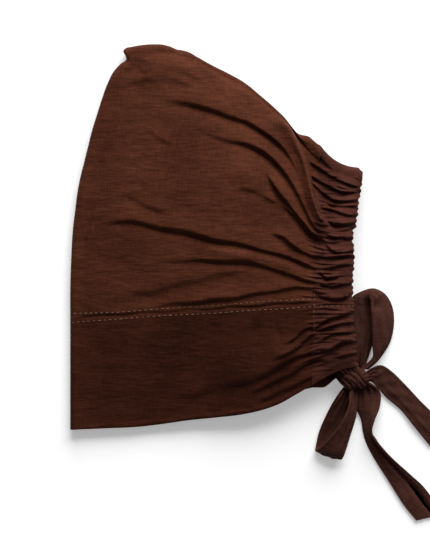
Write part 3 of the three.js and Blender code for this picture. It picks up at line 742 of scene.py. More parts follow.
@dataclass(frozen=True)
class ClothFinish:
    """A cotton finish: its colours, its weave and how much crush it shows."""

    name: str
    deep: tuple[float, float, float]
    bright: tuple[float, float, float]
    thread_pitch: float = 0.44
    slub: float = 0.5
    crush: float = 1.0
    roughness: float = 0.82
    thread_polish: float = 0.12
    sheen: float = 0.02
    sheen_roughness: float = 0.55
    sheen_tint: tuple[float, float, float] = (0.62, 0.36, 0.28)
    gloss: float = 0.06
    dye_change: float = 0.45
    dye_start: float = -0.075
    thread_tone: float = 0.80
    deep_at: float = 0.3
    bright_at: float = 0.85
    crush_strength: float = 0.6
    crush_depth: float = 0.0017
    weave_strength: float = 0.5
    weave_depth: float = 0.00016

    def material(self, weave: bpy.types.NodeTree, crush: bpy.types.NodeTree) -> bpy.types.Material:
        """Builds the finish.

        Args:
            weave: the shared weave group.
            crush: the shared crush group.

        Returns:
            The material.
        """
        made = bpy.data.materials.new(self.name)
        made.use_nodes = True
        tree = made.node_tree
        shader = tree.nodes["Principled BSDF"]
        place = tree.nodes.new("ShaderNodeAttribute")
        place.attribute_name = "cloth_place"
        threads = tree.nodes.new("ShaderNodeGroup")
        threads.node_tree = weave
        threads.inputs["Thread Pitch"].default_value = self.thread_pitch
        threads.inputs["Slub"].default_value = self.slub
        marks = tree.nodes.new("ShaderNodeGroup")
        marks.node_tree = crush
        marks.inputs["Strength"].default_value = self.crush
        for group in (threads, marks):
            tree.links.new(place.outputs["Vector"], group.inputs["Cloth Place"])
        dyed = math_node(tree, "MULTIPLY_ADD", threads.outputs["Dye"], self.dye_change, self.dye_start)
        tone = math_node(tree, "MULTIPLY_ADD", threads.outputs["Thread Tone"], self.thread_tone, dyed)
        ramp = tree.nodes.new("ShaderNodeValToRGB")
        ramp.color_ramp.elements[0].position = self.deep_at
        ramp.color_ramp.elements[0].color = (*self.deep, 1.0)
        ramp.color_ramp.elements[1].position = self.bright_at
        ramp.color_ramp.elements[1].color = (*self.bright, 1.0)
        tree.links.new(tone, ramp.inputs[0])
        tree.links.new(ramp.outputs[0], shader.inputs["Base Color"])
        rough = math_node(tree, "MULTIPLY_ADD", threads.outputs["Thread Tone"], -self.thread_polish,
                          self.roughness + self.thread_polish / 2.0)
        tree.links.new(rough, shader.inputs["Roughness"])
        shader.inputs["Sheen Weight"].default_value = self.sheen
        shader.inputs["Sheen Roughness"].default_value = self.sheen_roughness
        shader.inputs["Sheen Tint"].default_value = (*self.sheen_tint, 1.0)
        shader.inputs["Specular IOR Level"].default_value = self.gloss
        soft = tree.nodes.new("ShaderNodeBump")
        soft.inputs["Strength"].default_value = self.crush_strength
        soft.inputs["Distance"].default_value = self.crush_depth
        fine = tree.nodes.new("ShaderNodeBump")
        fine.inputs["Strength"].default_value = self.weave_strength
        fine.inputs["Distance"].default_value = self.weave_depth
        tree.links.new(marks.outputs["Height"], soft.inputs["Height"])
        tree.links.new(threads.outputs["Height"], fine.inputs["Height"])
        tree.links.new(soft.outputs["Normal"], fine.inputs["Normal"])
        tree.links.new(fine.outputs["Normal"], shader.inputs["Normal"])
        return made


@dataclass(frozen=True)
class ThreadFinish:
    """Sewing thread: two plies that twist, lighter than the cloth."""

    name: str
    deep: tuple[float, float, float]
    bright: tuple[float, float, float]
    plies: float = 900.0
    twist: float = 1.5
    ply_depth: float = 0.0001
    roughness: float = 0.55

    def material(self) -> bpy.types.Material:
        """Builds the finish.

        Returns:
            The material.
        """
        made = bpy.data.materials.new(self.name)
        made.use_nodes = True
        tree = made.node_tree
        shader = tree.nodes["Principled BSDF"]
        place = tree.nodes.new("ShaderNodeTexCoord")
        plies = tree.nodes.new("ShaderNodeTexWave")
        plies.bands_direction = "DIAGONAL"
        plies.inputs["Scale"].default_value = self.plies
        plies.inputs["Distortion"].default_value = self.twist
        tree.links.new(place.outputs["Object"], plies.inputs["Vector"])
        ramp = tree.nodes.new("ShaderNodeValToRGB")
        ramp.color_ramp.elements[0].color = (*self.deep, 1.0)
        ramp.color_ramp.elements[1].color = (*self.bright, 1.0)
        tree.links.new(plies.outputs["Fac"], ramp.inputs[0])
        tree.links.new(ramp.outputs[0], shader.inputs["Base Color"])
        bump = tree.nodes.new("ShaderNodeBump")
        bump.inputs["Distance"].default_value = self.ply_depth
        tree.links.new(plies.outputs["Fac"], bump.inputs["Height"])
        tree.links.new(bump.outputs["Normal"], shader.inputs["Normal"])
        shader.inputs["Roughness"].default_value = self.roughness
        return made


class Finishes:
    """Every finish on the cap, built once."""

    def __init__(self) -> None:
        """Builds the shared groups and the materials."""
        weave, crush = woven_cotton_group(), crush_group()
        cloths = (
            ClothFinish("crown_cotton", (0.026, 0.0058, 0.0022), (0.096, 0.0276, 0.0130)),
            # The band is the same cotton as the crown, but its deep and bright tones are set darker: painted
            # shade for the light that falls off over the band towards the face edge.
            ClothFinish("band_cotton", (0.015, 0.0030, 0.0012), (0.061, 0.0160, 0.0078), crush=0.8),
            ClothFinish("casing_cotton", (0.022, 0.0056, 0.0034), (0.074, 0.0222, 0.0148), crush=0.7),
            ClothFinish("tie_cotton", (0.024, 0.0072, 0.0048), (0.074, 0.0262, 0.0190), crush=0.8),
        )
        self.crown, self.band, self.casing, self.tie = (cloth.material(weave, crush) for cloth in cloths)
        self.thread = ThreadFinish("seam_thread", (0.08, 0.034, 0.018), (0.24, 0.120, 0.068)).material()


# The folded panels


def section_stations(near: int, turn: int, far: int, dense: float) -> list[tuple[str, float]]:
    """Lists the stations of a folded section: near half from its rim to the fold, turn, far half.

    Args:
        near: steps on the near half.
        turn: steps round the fold.
        far: steps on the far half.
        dense: how much closer the near steps get towards the rim.

    Returns:
        Pairs of the part's name and its share, or its angle on the turn.
    """
    stations = [("near", 1.0 - (1.0 - i / near) ** dense) for i in range(near, 0, -1)]
    stations += [("turn", math.pi * (0.5 - i / turn)) for i in range(turn + 1)]
    stations += [("far", i / far) for i in range(1, far + 1)]
    return stations


@dataclass
class FoldedPanel:
    """A panel folded on the midline, given by ribs that run from its rim over the fold to the far rim."""

    cloth: float
    stations: list[tuple[str, float]]
    least_lift: float = 1.2
    outer: list[np.ndarray] = field(default_factory=list)
    inner: list[np.ndarray] = field(default_factory=list)
    weave: list[np.ndarray] = field(default_factory=list)

    def add_rib(self, fold: np.ndarray, radius: float, near: Callable[[float], np.ndarray],
                far: Callable[[float], np.ndarray], height: Callable[[float, float], float]) -> None:
        """Adds one rib, without the folds of the cloth.

        Args:
            fold: the rib's place on the midline fold.
            radius: the fold's roll there.
            near: gives a place on the near half at a share of the way to its rim.
            far: the same on the far half.
            height: gives the near half's height at a share and its distance from the roll.
        """
        step = 0.1
        towards = near(step) - near(0.0)
        towards /= np.linalg.norm(towards)
        start = fold + towards * radius
        outer, inner, weave = [], [], []
        for part, value in self.stations:
            if part == "turn":
                weave.append(start - towards * radius * (0.5 * math.pi - value))
                lift, reach = math.sin(value), math.cos(value)
                small = radius - self.cloth
                outer.append((*(fold + towards * radius * (1.0 - reach)), radius * (1.0 + lift)))
                inner.append((*(fold + towards * (radius - small * reach)), radius + small * lift))
                continue
            place = near(value) if part == "near" else far(value)
            level = height(value, float(np.linalg.norm(place - near(0.0)))) if part == "near" else 0.0
            outer.append((*place, level))
            inner.append((*place, level - self.cloth if part == "near" else self.cloth))
            weave.append(place if part == "near" else 2.0 * start - place - towards * math.pi * radius)
        self.outer.append(np.array(outer))
        self.inner.append(np.array(inner))
        self.weave.append(np.array(weave))

    def finish(self, name: str, plan: CapPlan, settle: np.ndarray) -> bpy.types.Object:
        """Adds the folds and closes the wall.

        Args:
            name: the piece's name.
            plan: the cap's sizes.
            settle: how much of the folds each point of the near half takes, rows by columns.

        Returns:
            The panel's object.
        """
        outer, inner = np.array(self.outer), np.array(self.inner)
        relief = near_relief(outer[..., 0], outer[..., 1]) * settle
        outer[..., 2] += relief
        inner[..., 2] += relief
        floor_of_near = np.where(settle > 0.0, self.least_lift * self.cloth, 0.0)
        outer[..., 2] = np.maximum(outer[..., 2], 2.0 * floor_of_near)
        inner[..., 2] = np.maximum(inner[..., 2], floor_of_near)
        return wall_object(name, plan.to_frame(outer), plan.to_frame(inner), np.array(self.weave))


@dataclass
class Crown:
    """The large panel over the head: ribs fan out from the casing to the midline fold."""

    plan: CapPlan
    ribs: int = 230
    near_steps: int = 150
    turn_steps: int = 8
    far_steps: int = 24
    rim_density: float = 1.4
    outline_points: int = 2400
    fan: tuple[float, float] = (0.68, 0.32)
    rims_stop: float = 1.6
    cloth: float = 1.0
    climb: float = 2.4
    swell_span: tuple[float, float] = (0.12, 0.88)
    top_calm: float = 0.75
    calm_from: float = 0.42
    calm_over: float = 0.4
    rise_over: float = 9.0
    swell_over: float = 16.0
    settle_over: float = 12.0
    drawn_in: float = 14.0
    cut_share: float = 0.82
    outline: Points = (
        (0, 0), (0, 28), (1, 60), (3, 92), (5, 108), (7, 124), (10, 140), (14, 156), (18, 172), (22, 188),
        (27, 204), (32, 220), (38, 236), (43, 246), (50, 254), (56.5, 259.5), (55, 263), (53, 267.5),
        (55.5, 270), (62, 271.5), (70, 273), (82, 274), (94, 273.4), (102, 271), (106, 269), (112, 268),
        (118, 266.5), (126, 262), (142, 253), (158, 245), (174, 236), (190, 223), (206, 209), (215, 200),
        (222, 191), (229, 184), (233, 183), (238, 182), (246, 175.5), (251, 172.2),
    )

    def even_out(self, lengths: np.ndarray, reach: int = 34) -> np.ndarray:
        """Evens out the ribs' lengths, so that the outline's small corner doesn't crease the whole crown.

        Args:
            lengths: each rib's length.
            reach: how many ribs on either side share in the mean.

        Returns:
            The evened lengths.
        """
        weights = np.hanning(2 * reach + 1)
        mirrored = np.concatenate([2 * lengths[0] - lengths[reach:0:-1], lengths,
                                   2 * lengths[-1] - lengths[-2:-reach - 2:-1]])
        return np.convolve(mirrored, weights / weights.sum(), mode="valid")

    def build(self) -> bpy.types.Object:
        """Builds the crown's wall.

        Returns:
            The crown's object.
        """
        plan = self.plan
        drawn = np.array(self.outline, float) * CHART
        drawn[-1] = (plan.stitch_line(plan.nape_top) - plan.seam_gap / 2.0, plan.nape_top)
        edge = smooth_path(drawn, self.outline_points)
        stations = section_stations(self.near_steps, self.turn_steps, self.far_steps, self.rim_density)
        panel = FoldedPanel(self.cloth, stations)
        settle = np.zeros((self.ribs + 1, len(stations)))
        shares = np.linspace(0.0, 1.0, self.ribs + 1)
        fanned = shares * (self.fan[0] + self.fan[1] * shares)
        folds = edge[np.round(fanned * (len(edge) - 1)).astype(int)]
        folds[0, 1] += plan.seam_gap / 2.0
        rims_end = plan.nape_top - self.rims_stop * plan.nape_fold_radius
        rims_y = mix(plan.seam_rise + plan.seam_gap / 2.0, rims_end, shares)
        rims = np.column_stack([plan.stitch_line(rims_y) - plan.seam_gap / 2.0, rims_y])
        lengths = np.linalg.norm(rims - folds, axis=1)
        even = self.even_out(lengths)
        for i, share in enumerate(shares):
            fold, rim, rim_y, stretch = folds[i], rims[i], rims_y[i], lengths[i] / even[i]
            radius = mix(plan.fold_radius, plan.nape_fold_radius, share)
            start = fold + (rim - fold) / lengths[i] * radius
            top = plan.nape_height(plan.share_at_nape(rim_y))
            swell = math.sin(math.pi * mix(*self.swell_span, share)) * plan.crown_puff
            swell *= 1.0 - self.top_calm * ease(share, self.calm_from, self.calm_over)

            def between(part: float, start: np.ndarray = start, rim: np.ndarray = rim) -> np.ndarray:
                """Goes from the roll to the rim."""
                return start + (rim - start) * part

            def level(part: float, travelled: float, radius: float = radius, top: float = top,
                      swell: float = swell, stretch: float = stretch) -> float:
                """Climbs from the roll to the casing, with the crown's swell.

                Args:
                    part: the share of the way to the rim.
                    travelled: the distance from the roll.
                    radius: the roll's radius.
                    top: the height at the rim.
                    swell: how far the rib swells.
                    stretch: the rib's length against its evened length.

                Returns:
                    The height.
                """
                away = min(max((1.0 - part) * stretch, 0.0), 1.0)
                rise = (1.0 - away**self.climb) * smooth(travelled / self.rise_over)
                swollen = swell * math.sin(math.pi * away) * smooth(travelled / self.swell_over)
                return mix(2.0 * radius, top, rise) + swollen

            panel.add_rib(fold, radius, between, between, level)
            reach = float(np.linalg.norm(rim - start))
            for j, (kind, part) in enumerate(stations):
                settle[i, j] = smooth(part * reach / self.settle_over) if kind == "near" else 0.0
        return panel.finish("crown_panel", plan, settle)

    def dress(self, piece: bpy.types.Object, finishes: Finishes) -> None:
        """Gives the crown its cloth and its place in the frame.

        Args:
            piece: the crown's object.
            finishes: every finish on the cap.
        """
        piece.data.materials.append(finishes.crown)
        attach(piece, "root")
        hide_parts("crown")


@dataclass
class FrontBand:
    """The doubled band from the seam down to the face edge."""

    plan: CapPlan
    ribs: int = 90
    near_steps: int = 190
    turn_steps: int = 8
    far_steps: int = 24
    rim_density: float = 1.15
    edge_points: int = 400
    cloth: float = 1.4
    climb: float = 2.4
    sink: float = 0.52
    sink_fade: float = 1.1
    sink_lean: float = 0.6
    sink_breadth: float = 0.8
    seam_swell: float = 0.12
    settle_over: float = 14.0
    near_edge: Points = (
        (0, -112), (35, -110.5), (68, -109), (90, -106.5), (117, -102.5), (145, -99.5), (170, -96.5),
        (187, -93), (208, -86), (225, -76.5), (241.7, -66.7),
    )
    far_edge: Points = (
        (0, -112), (35, -110.5), (68, -109), (90, -106.5), (117, -102.5), (145, -99.5), (170, -96.5),
        (187, -93.5), (208, -86.5), (222, -77), (232, -72.5), (241.7, -70.3),
    )

    def build(self) -> bpy.types.Object:
        """Builds the band's wall.

        Returns:
            The band's object.
        """
        plan = self.plan
        stations = section_stations(self.near_steps, self.turn_steps, self.far_steps, self.rim_density)
        panel = FoldedPanel(self.cloth, stations)
        settle = np.zeros((self.ribs + 1, len(stations)))
        edges = [smooth_path(np.array(edge, float) * CHART, self.edge_points)
                 for edge in (self.near_edge, self.far_edge)]
        inset = plan.fold_radius / plan.panel_width
        for i in range(self.ribs + 1):
            share = i / self.ribs

            def half(across: float, edge: np.ndarray, share: float = share) -> np.ndarray:
                """Gives a place on one half.

                Args:
                    across: the share of the way to the casing.
                    edge: that half's face edge.
                    share: the share of the way up to the seam.

                Returns:
                    The place.
                """
                low = float(np.interp(across * plan.panel_width, edge[:, 0], edge[:, 1]))
                y = mix(low, plan.seam_rise * across - plan.seam_gap / 2.0, share)
                return np.array([(plan.stitch_line(y) - plan.seam_gap / 2.0) * across, y])

            def near(part: float) -> np.ndarray:
                """Follows the near half."""
                return half(mix(inset, 1.0, part), edges[0])

            def far(part: float) -> np.ndarray:
                """Follows the far half."""
                return half(mix(inset, 1.0, part), edges[1])

            top = plan.nape_height(plan.share_at_nape(near(1.0)[1]))

            def level(part: float, _: float, top: float = top, share: float = share) -> float:
                """Climbs to the casing and sinks towards the face edge.

                Args:
                    part: the share of the way to the rim.
                    top: the height at the rim.
                    share: the share of the way up to the seam.

                Returns:
                    The height.
                """
                rise = 1.0 - (1.0 - part) ** self.climb
                base = mix(2.0 * plan.fold_radius, top, rise)
                lie = math.sin(math.pi * part**self.sink_lean) ** self.sink_breadth
                sink = self.sink * (1.0 - share) ** self.sink_fade * lie
                swell = (plan.crown_puff * math.sin(math.pi * part)
                         * math.sin(math.pi * self.seam_swell) * share)
                return base * (1.0 - sink) + swell

            panel.add_rib(half(0.0, edges[0]), plan.fold_radius, near, far, level)
            width = plan.panel_width
            for j, (kind, part) in enumerate(stations):
                settle[i, j] = smooth(part * width / self.settle_over) if kind == "near" else 0.0
        return panel.finish("front_band_panel", plan, settle)

    def dress(self, piece: bpy.types.Object, finishes: Finishes) -> None:
        """Gives the band its cloth and its place in the frame.

        Args:
            piece: the band's object.
            finishes: every finish on the cap.
        """
        piece.data.materials.append(finishes.band)
        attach(piece, "root")
        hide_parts("front_band")


@dataclass
class NapeCasing:
    """The drawn channel along the nape edge, up the near half, over the fold and down the far half."""

    plan: CapPlan
    near_steps: int = 330
    turn_steps: int = 22
    far_steps: int = 120
    across_steps: int = 30
    cloth: float = 1.5
    fall_power: float = 2.4
    corner_drop: float = 2.4
    corner: tuple[float, float] = (0.88, 0.12)
    scallop: float = 0.014
    scallops: tuple[float, float] = (31.0, 17.3)
    long_scallop: float = 0.6
    end_eases: tuple[float, float] = (0.04, 0.025)
    roll: tuple[float, float] = (0.82, 0.18)
    roll_share: float = 0.96
    roll_drop: float = 3.4
    tunnel: float = 1.5
    fuller: float = 0.3
    fuller_over: float = 0.3
    far_width: float = 0.95
    far_foot_ease: float = 0.25
    far_end: tuple[float, float] = (0.4, 0.6)
    gather_pitch: float = 6.4
    gather_height: float = 0.75
    gather_lift: float = 1.35
    gather_sway: tuple[float, float] = (1.1, 3.7)
    slow_gather: tuple[float, float] = (0.35, 0.53)
    gather_eases: tuple[float, float] = (0.4, 0.1)
    far_weave_shift: float = 400.0
    edge: Points = (
        (0.00, 1.10), (0.10, 1.08), (0.16, 1.05), (0.24, 1.00), (0.30, 0.995), (0.355, 0.99),
        (0.365, 0.965), (0.42, 0.965), (0.49, 0.96), (0.545, 0.985), (0.56, 0.975), (0.58, 0.985),
        (0.64, 0.96), (0.68, 0.93), (0.715, 0.935), (0.73, 0.93), (0.745, 0.985), (0.79, 1.00),
        (0.84, 1.025), (0.88, 1.02), (0.92, 1.05), (1.00, 1.07),
    )

    def wide(self, share: float) -> float:
        """Gives the outer edge's distance as a share of the casing's width.

        Args:
            share: the share of the way from the casing's foot to its top.

        Returns:
            The distance from the stitch line, in widths.
        """
        rows = np.array(self.edge)
        short, long = self.scallops
        waves = (math.sin(2.0 * math.pi * short * share)
                 + self.long_scallop * math.sin(2.0 * math.pi * long * share + 1.0))
        return float(np.interp(share, rows[:, 0], rows[:, 1])) + self.scallop * waves

    def pleat(self, travel: float) -> float:
        """Gives the far half's uneven gathers.

        Args:
            travel: the distance along the casing, in millimetres.

        Returns:
            The gather's rise, no further than 1.35 either way.
        """
        turn = 2.0 * math.pi * travel / self.gather_pitch
        (sway, sway_length), (slow, slow_turn) = self.gather_sway, self.slow_gather
        return math.cos(turn + sway * math.sin(turn / sway_length)) + slow * math.cos(slow_turn * turn + 1.0)

    def near_rows(self, across: np.ndarray, turn_y: np.ndarray) -> list[CasingRow]:
        """Lays out the near half, from its foot to the fold at the casing's top.

        Args:
            across: shares of the way from the stitch line to the outer edge.
            turn_y: where the fold begins, at each of them.

        Returns:
            The rows.
        """
        plan, gap = self.plan, self.plan.seam_gap / 2.0
        foot = plan.near_foot + plan.near_end_rise * np.sin(0.5 * math.pi * across)
        rolled = ease(across, *self.roll) ** 2 * self.roll_share
        roll = 1.0 - np.sqrt(np.clip(1.0 - rolled, 0.0, 1.0))
        rows = []
        for i in range(self.near_steps + 1):
            share = i / self.near_steps
            y = mix(foot, turn_y, share)
            x = plan.stitch_line(y) + gap + across * plan.casing_width * self.wide(share)
            ends = smooth(share / self.end_eases[0]) * smooth((1.0 - share) / self.end_eases[1])
            tunnel = self.tunnel * np.sin(math.pi * across) * ends
            level = plan.nape_height(share) + tunnel - self.roll_drop * roll * ends
            rows.append((np.stack([x, y, level], axis=1), np.stack([x, y, level - self.cloth], axis=1),
                         np.full(across.shape, ends)))
        return rows

    def turn_rows(self, across: np.ndarray, turn_y: np.ndarray) -> list[CasingRow]:
        """Lays out the roll at the casing's top.

        Args:
            across: shares of the way from the stitch line to the outer edge.
            turn_y: where the fold begins, at each of them.

        Returns:
            The rows.
        """
        plan, gap = self.plan, self.plan.seam_gap / 2.0
        large = plan.nape_fold_radius
        small = large - self.cloth
        rows = []
        for i in range(1, self.turn_steps):
            angle = math.pi * (0.5 - i / self.turn_steps)
            lift, reach = math.sin(angle), math.cos(angle)
            y = turn_y + large * reach
            x = plan.stitch_line(y) + gap + across * plan.casing_width * self.wide(1.0)
            outer = np.stack([x, y, np.full_like(x, large * (1.0 + lift))], axis=1)
            inner = np.stack([x, turn_y + small * reach, np.full_like(x, large + small * lift)], axis=1)
            rows.append((outer, inner, np.zeros(across.shape)))
        return rows

    def far_rows(self, across: np.ndarray, turn_y: np.ndarray) -> list[CasingRow]:
        """Lays out the far half, from the fold down to its drawn-in foot.

        Args:
            across: shares of the way from the stitch line to the outer edge.
            turn_y: where the fold begins, at each of them.

        Returns:
            The rows.
        """
        plan, gap = self.plan, self.plan.seam_gap / 2.0
        foot = plan.far_foot + plan.far_end_rise * ease(across, *self.far_end)
        full = self.far_width * plan.casing_width
        rows = []
        for i in range(self.far_steps + 1):
            share = i / self.far_steps
            y = mix(turn_y, foot, share)
            up = 1.0 - share
            wide = mix(plan.far_foot_width, full, smooth(up / self.far_foot_ease))
            wide *= mix(1.0, self.wide(up), up)
            x = plan.stitch_line(y) + gap + across * wide
            gathers = np.array([self.gather_height * (self.gather_lift + self.pleat(v)) for v in y])
            gathers = gathers * smooth(across / self.gather_eases[0]) * smooth(share / self.gather_eases[1])
            rows.append((np.stack([x, y, np.zeros_like(x)], axis=1),
                         np.stack([x, y, self.cloth + gathers], axis=1), np.zeros(across.shape)))
        return rows

    def build(self) -> bpy.types.Object:
        """Builds the casing's wall.

        Returns:
            The casing's object.
        """
        plan = self.plan
        across = np.linspace(0.0, 1.0, self.across_steps + 1)
        fall = (plan.casing_top_fall * (1.0 - (1.0 - across) ** self.fall_power)
                + self.corner_drop * ease(across, *self.corner))
        turn_y = plan.nape_top - fall - plan.nape_fold_radius
        rows = self.near_rows(across, turn_y) + self.turn_rows(across, turn_y) + self.far_rows(across, turn_y)
        outer, inner, takes = (np.array(part) for part in zip(*rows))
        grown = 1.0 + self.fuller * smooth(across / self.fuller_over)
        relief = grown * near_relief(outer[..., 0], outer[..., 1]) * takes
        outer[..., 2] += relief
        inner[..., 2] += relief
        weave = outer[..., :2].copy()
        weave[self.near_steps + self.turn_steps:, :, 0] += self.far_weave_shift
        return wall_object("nape_casing_channel", plan.to_frame(outer), plan.to_frame(inner), weave)

    def dress(self, piece: bpy.types.Object, finishes: Finishes) -> None:
        """Gives the casing its cloth and its place in the frame.

        Args:
            piece: the casing's object.
            finishes: every finish on the cap.
        """
        piece.data.materials.append(finishes.casing)
        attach(piece, "root")
        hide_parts("nape_casing")


# Stitches


class StitchRows(Enum):
    """The rows of topstitching that show."""

    CROWN_SIDE = "above the seam"
    BAND_SIDE = "below the seam, and on over the casing"
    CASING = "along the casing's inner edge"


@dataclass
class Topstitching:
    """Rows of stitches laid on the finished cloth by Geometry Nodes."""

    plan: CapPlan
    pitch: float = 3.3
    length: float = 2.1
    thickness: float = 0.42
    line_points: int = 130
    drop_from: float = 0.1
    stand: float = 0.12
    segments: int = 7
    rings: int = 5
    unevenness: tuple[float, float] = (0.82, 1.12)
    rows: dict[StitchRows, Points] = field(default_factory=lambda: {
        StitchRows.CROWN_SIDE: ((5, 4.5), (50, 6), (90, 9.4), (145, 13), (197, 17), (238, 19)),
        StitchRows.BAND_SIDE: ((3, -4.5), (50, -0.8), (90, 2.4), (145, 5.2), (180, 8), (214, 9.6),
                               (238, 11.6), (251, 12.2), (282, 12)),
        StitchRows.CASING: ((243.4, -14), (243.0, 0), (243.2, 12), (243.6, 24)),
    })

    def tree(self, material: bpy.types.Material) -> bpy.types.NodeTree:
        """Builds the tree that turns a line into a run of stitches.

        Args:
            material: the thread's finish.

        Returns:
            The node tree.
        """
        tree = bpy.data.node_groups.new("topstitch_run", "GeometryNodeTree")
        tree.is_modifier = True
        group_socket(tree, "Geometry", "INPUT", "NodeSocketGeometry")
        group_socket(tree, "Stitch Pitch", "INPUT", "NodeSocketFloat", self.pitch * MM)
        group_socket(tree, "Stitch Length", "INPUT", "NodeSocketFloat", self.length * MM)
        group_socket(tree, "Thread Thickness", "INPUT", "NodeSocketFloat", self.thickness * MM)
        group_socket(tree, "Seed", "INPUT", "NodeSocketInt", SEED)
        group_socket(tree, "Geometry", "OUTPUT", "NodeSocketGeometry")
        make = tree.nodes.new
        inside, outside = make("NodeGroupInput"), make("NodeGroupOutput")
        curve, resample = make("GeometryNodeMeshToCurve"), make("GeometryNodeResampleCurve")
        resample.mode = "LENGTH"
        tangent, align = make("GeometryNodeInputTangent"), make("FunctionNodeAlignRotationToVector")
        align.axis = "X"
        stitch, shape = make("GeometryNodeMeshUVSphere"), make("GeometryNodeTransform")
        stitch.inputs["Segments"].default_value = self.segments
        stitch.inputs["Rings"].default_value = self.rings
        stitch.inputs["Radius"].default_value = 0.5
        size, spread = make("ShaderNodeCombineXYZ"), make("FunctionNodeRandomValue")
        spread.data_type = "FLOAT"
        spread.inputs[2].default_value, spread.inputs[3].default_value = self.unevenness
        place, real, paint = (make("GeometryNodeInstanceOnPoints"), make("GeometryNodeRealizeInstances"),
                              make("GeometryNodeSetMaterial"))
        paint.inputs["Material"].default_value = material
        for source, target in (
            (inside.outputs["Geometry"], curve.inputs[0]),
            (curve.outputs[0], resample.inputs["Curve"]),
            (inside.outputs["Stitch Pitch"], resample.inputs["Length"]),
            (resample.outputs[0], place.inputs["Points"]),
            (tangent.outputs[0], align.inputs["Vector"]),
            (align.outputs[0], place.inputs["Rotation"]),
            (inside.outputs["Stitch Length"], size.inputs["X"]),
            (inside.outputs["Thread Thickness"], size.inputs["Y"]),
            (inside.outputs["Thread Thickness"], size.inputs["Z"]),
            (stitch.outputs["Mesh"], shape.inputs["Geometry"]),
            (size.outputs[0], shape.inputs["Scale"]),
            (shape.outputs[0], place.inputs["Instance"]),
            (inside.outputs["Seed"], spread.inputs["Seed"]),
            (spread.outputs[1], place.inputs["Scale"]),
            (place.outputs[0], real.inputs[0]),
            (real.outputs[0], paint.inputs["Geometry"]),
            (paint.outputs[0], outside.inputs["Geometry"]),
        ):
            tree.links.new(source, target)
        return tree

    def build(self, cloths: list[bpy.types.Object], material: bpy.types.Material) -> bpy.types.Object:
        """Lays every row on the cloth below it.

        Args:
            cloths: the pieces that the rows lie on.
            material: the thread's finish.

        Returns:
            The stitches as one mesh.
        """
        points: list[tuple[float, float, float]] = []
        edges: list[tuple[int, int]] = []
        for row in self.rows.values():
            drawn = smooth_path(np.array(row, float) * CHART, self.line_points)
            flat = self.plan.to_frame(np.column_stack([drawn, np.zeros(len(drawn))]))
            first = len(points)
            for x, y, _ in flat:
                above = Vector((x, y, self.drop_from))
                hits = [piece.ray_cast(above, Vector((0.0, 0.0, -1.0))) for piece in cloths]
                heights = [hit[1].z for hit in hits if hit[0]]
                if heights:
                    points.append((x, y, max(heights) + self.stand * self.thickness * MM))
            edges += [(k, k + 1) for k in range(first, len(points) - 1)]
        mesh = bpy.data.meshes.new("topstitch_lines")
        mesh.from_pydata(points, edges, [])
        lines = link(mesh, "topstitch_lines")
        tree = self.tree(material)
        modifier = lines.modifiers.new("stitches", "NODES")
        modifier.node_group = tree
        values = {"Stitch Pitch": self.pitch * MM, "Stitch Length": self.length * MM,
                  "Thread Thickness": self.thickness * MM, "Seed": SEED}
        for item in tree.interface.items_tree:
            if item.in_out == "INPUT" and item.name in values:
                modifier[item.identifier] = values[item.name]
        evaluated = lines.evaluated_get(bpy.context.evaluated_depsgraph_get())
        made = link(bpy.data.meshes.new_from_object(evaluated), "seam_topstitching")
        bpy.data.objects.remove(lines)
        made.data.shade_smooth()
        return made

    def dress(self, piece: bpy.types.Object) -> None:
        """Gives the stitches their place in the frame."""
        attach(piece, "root")


# Ties and bow


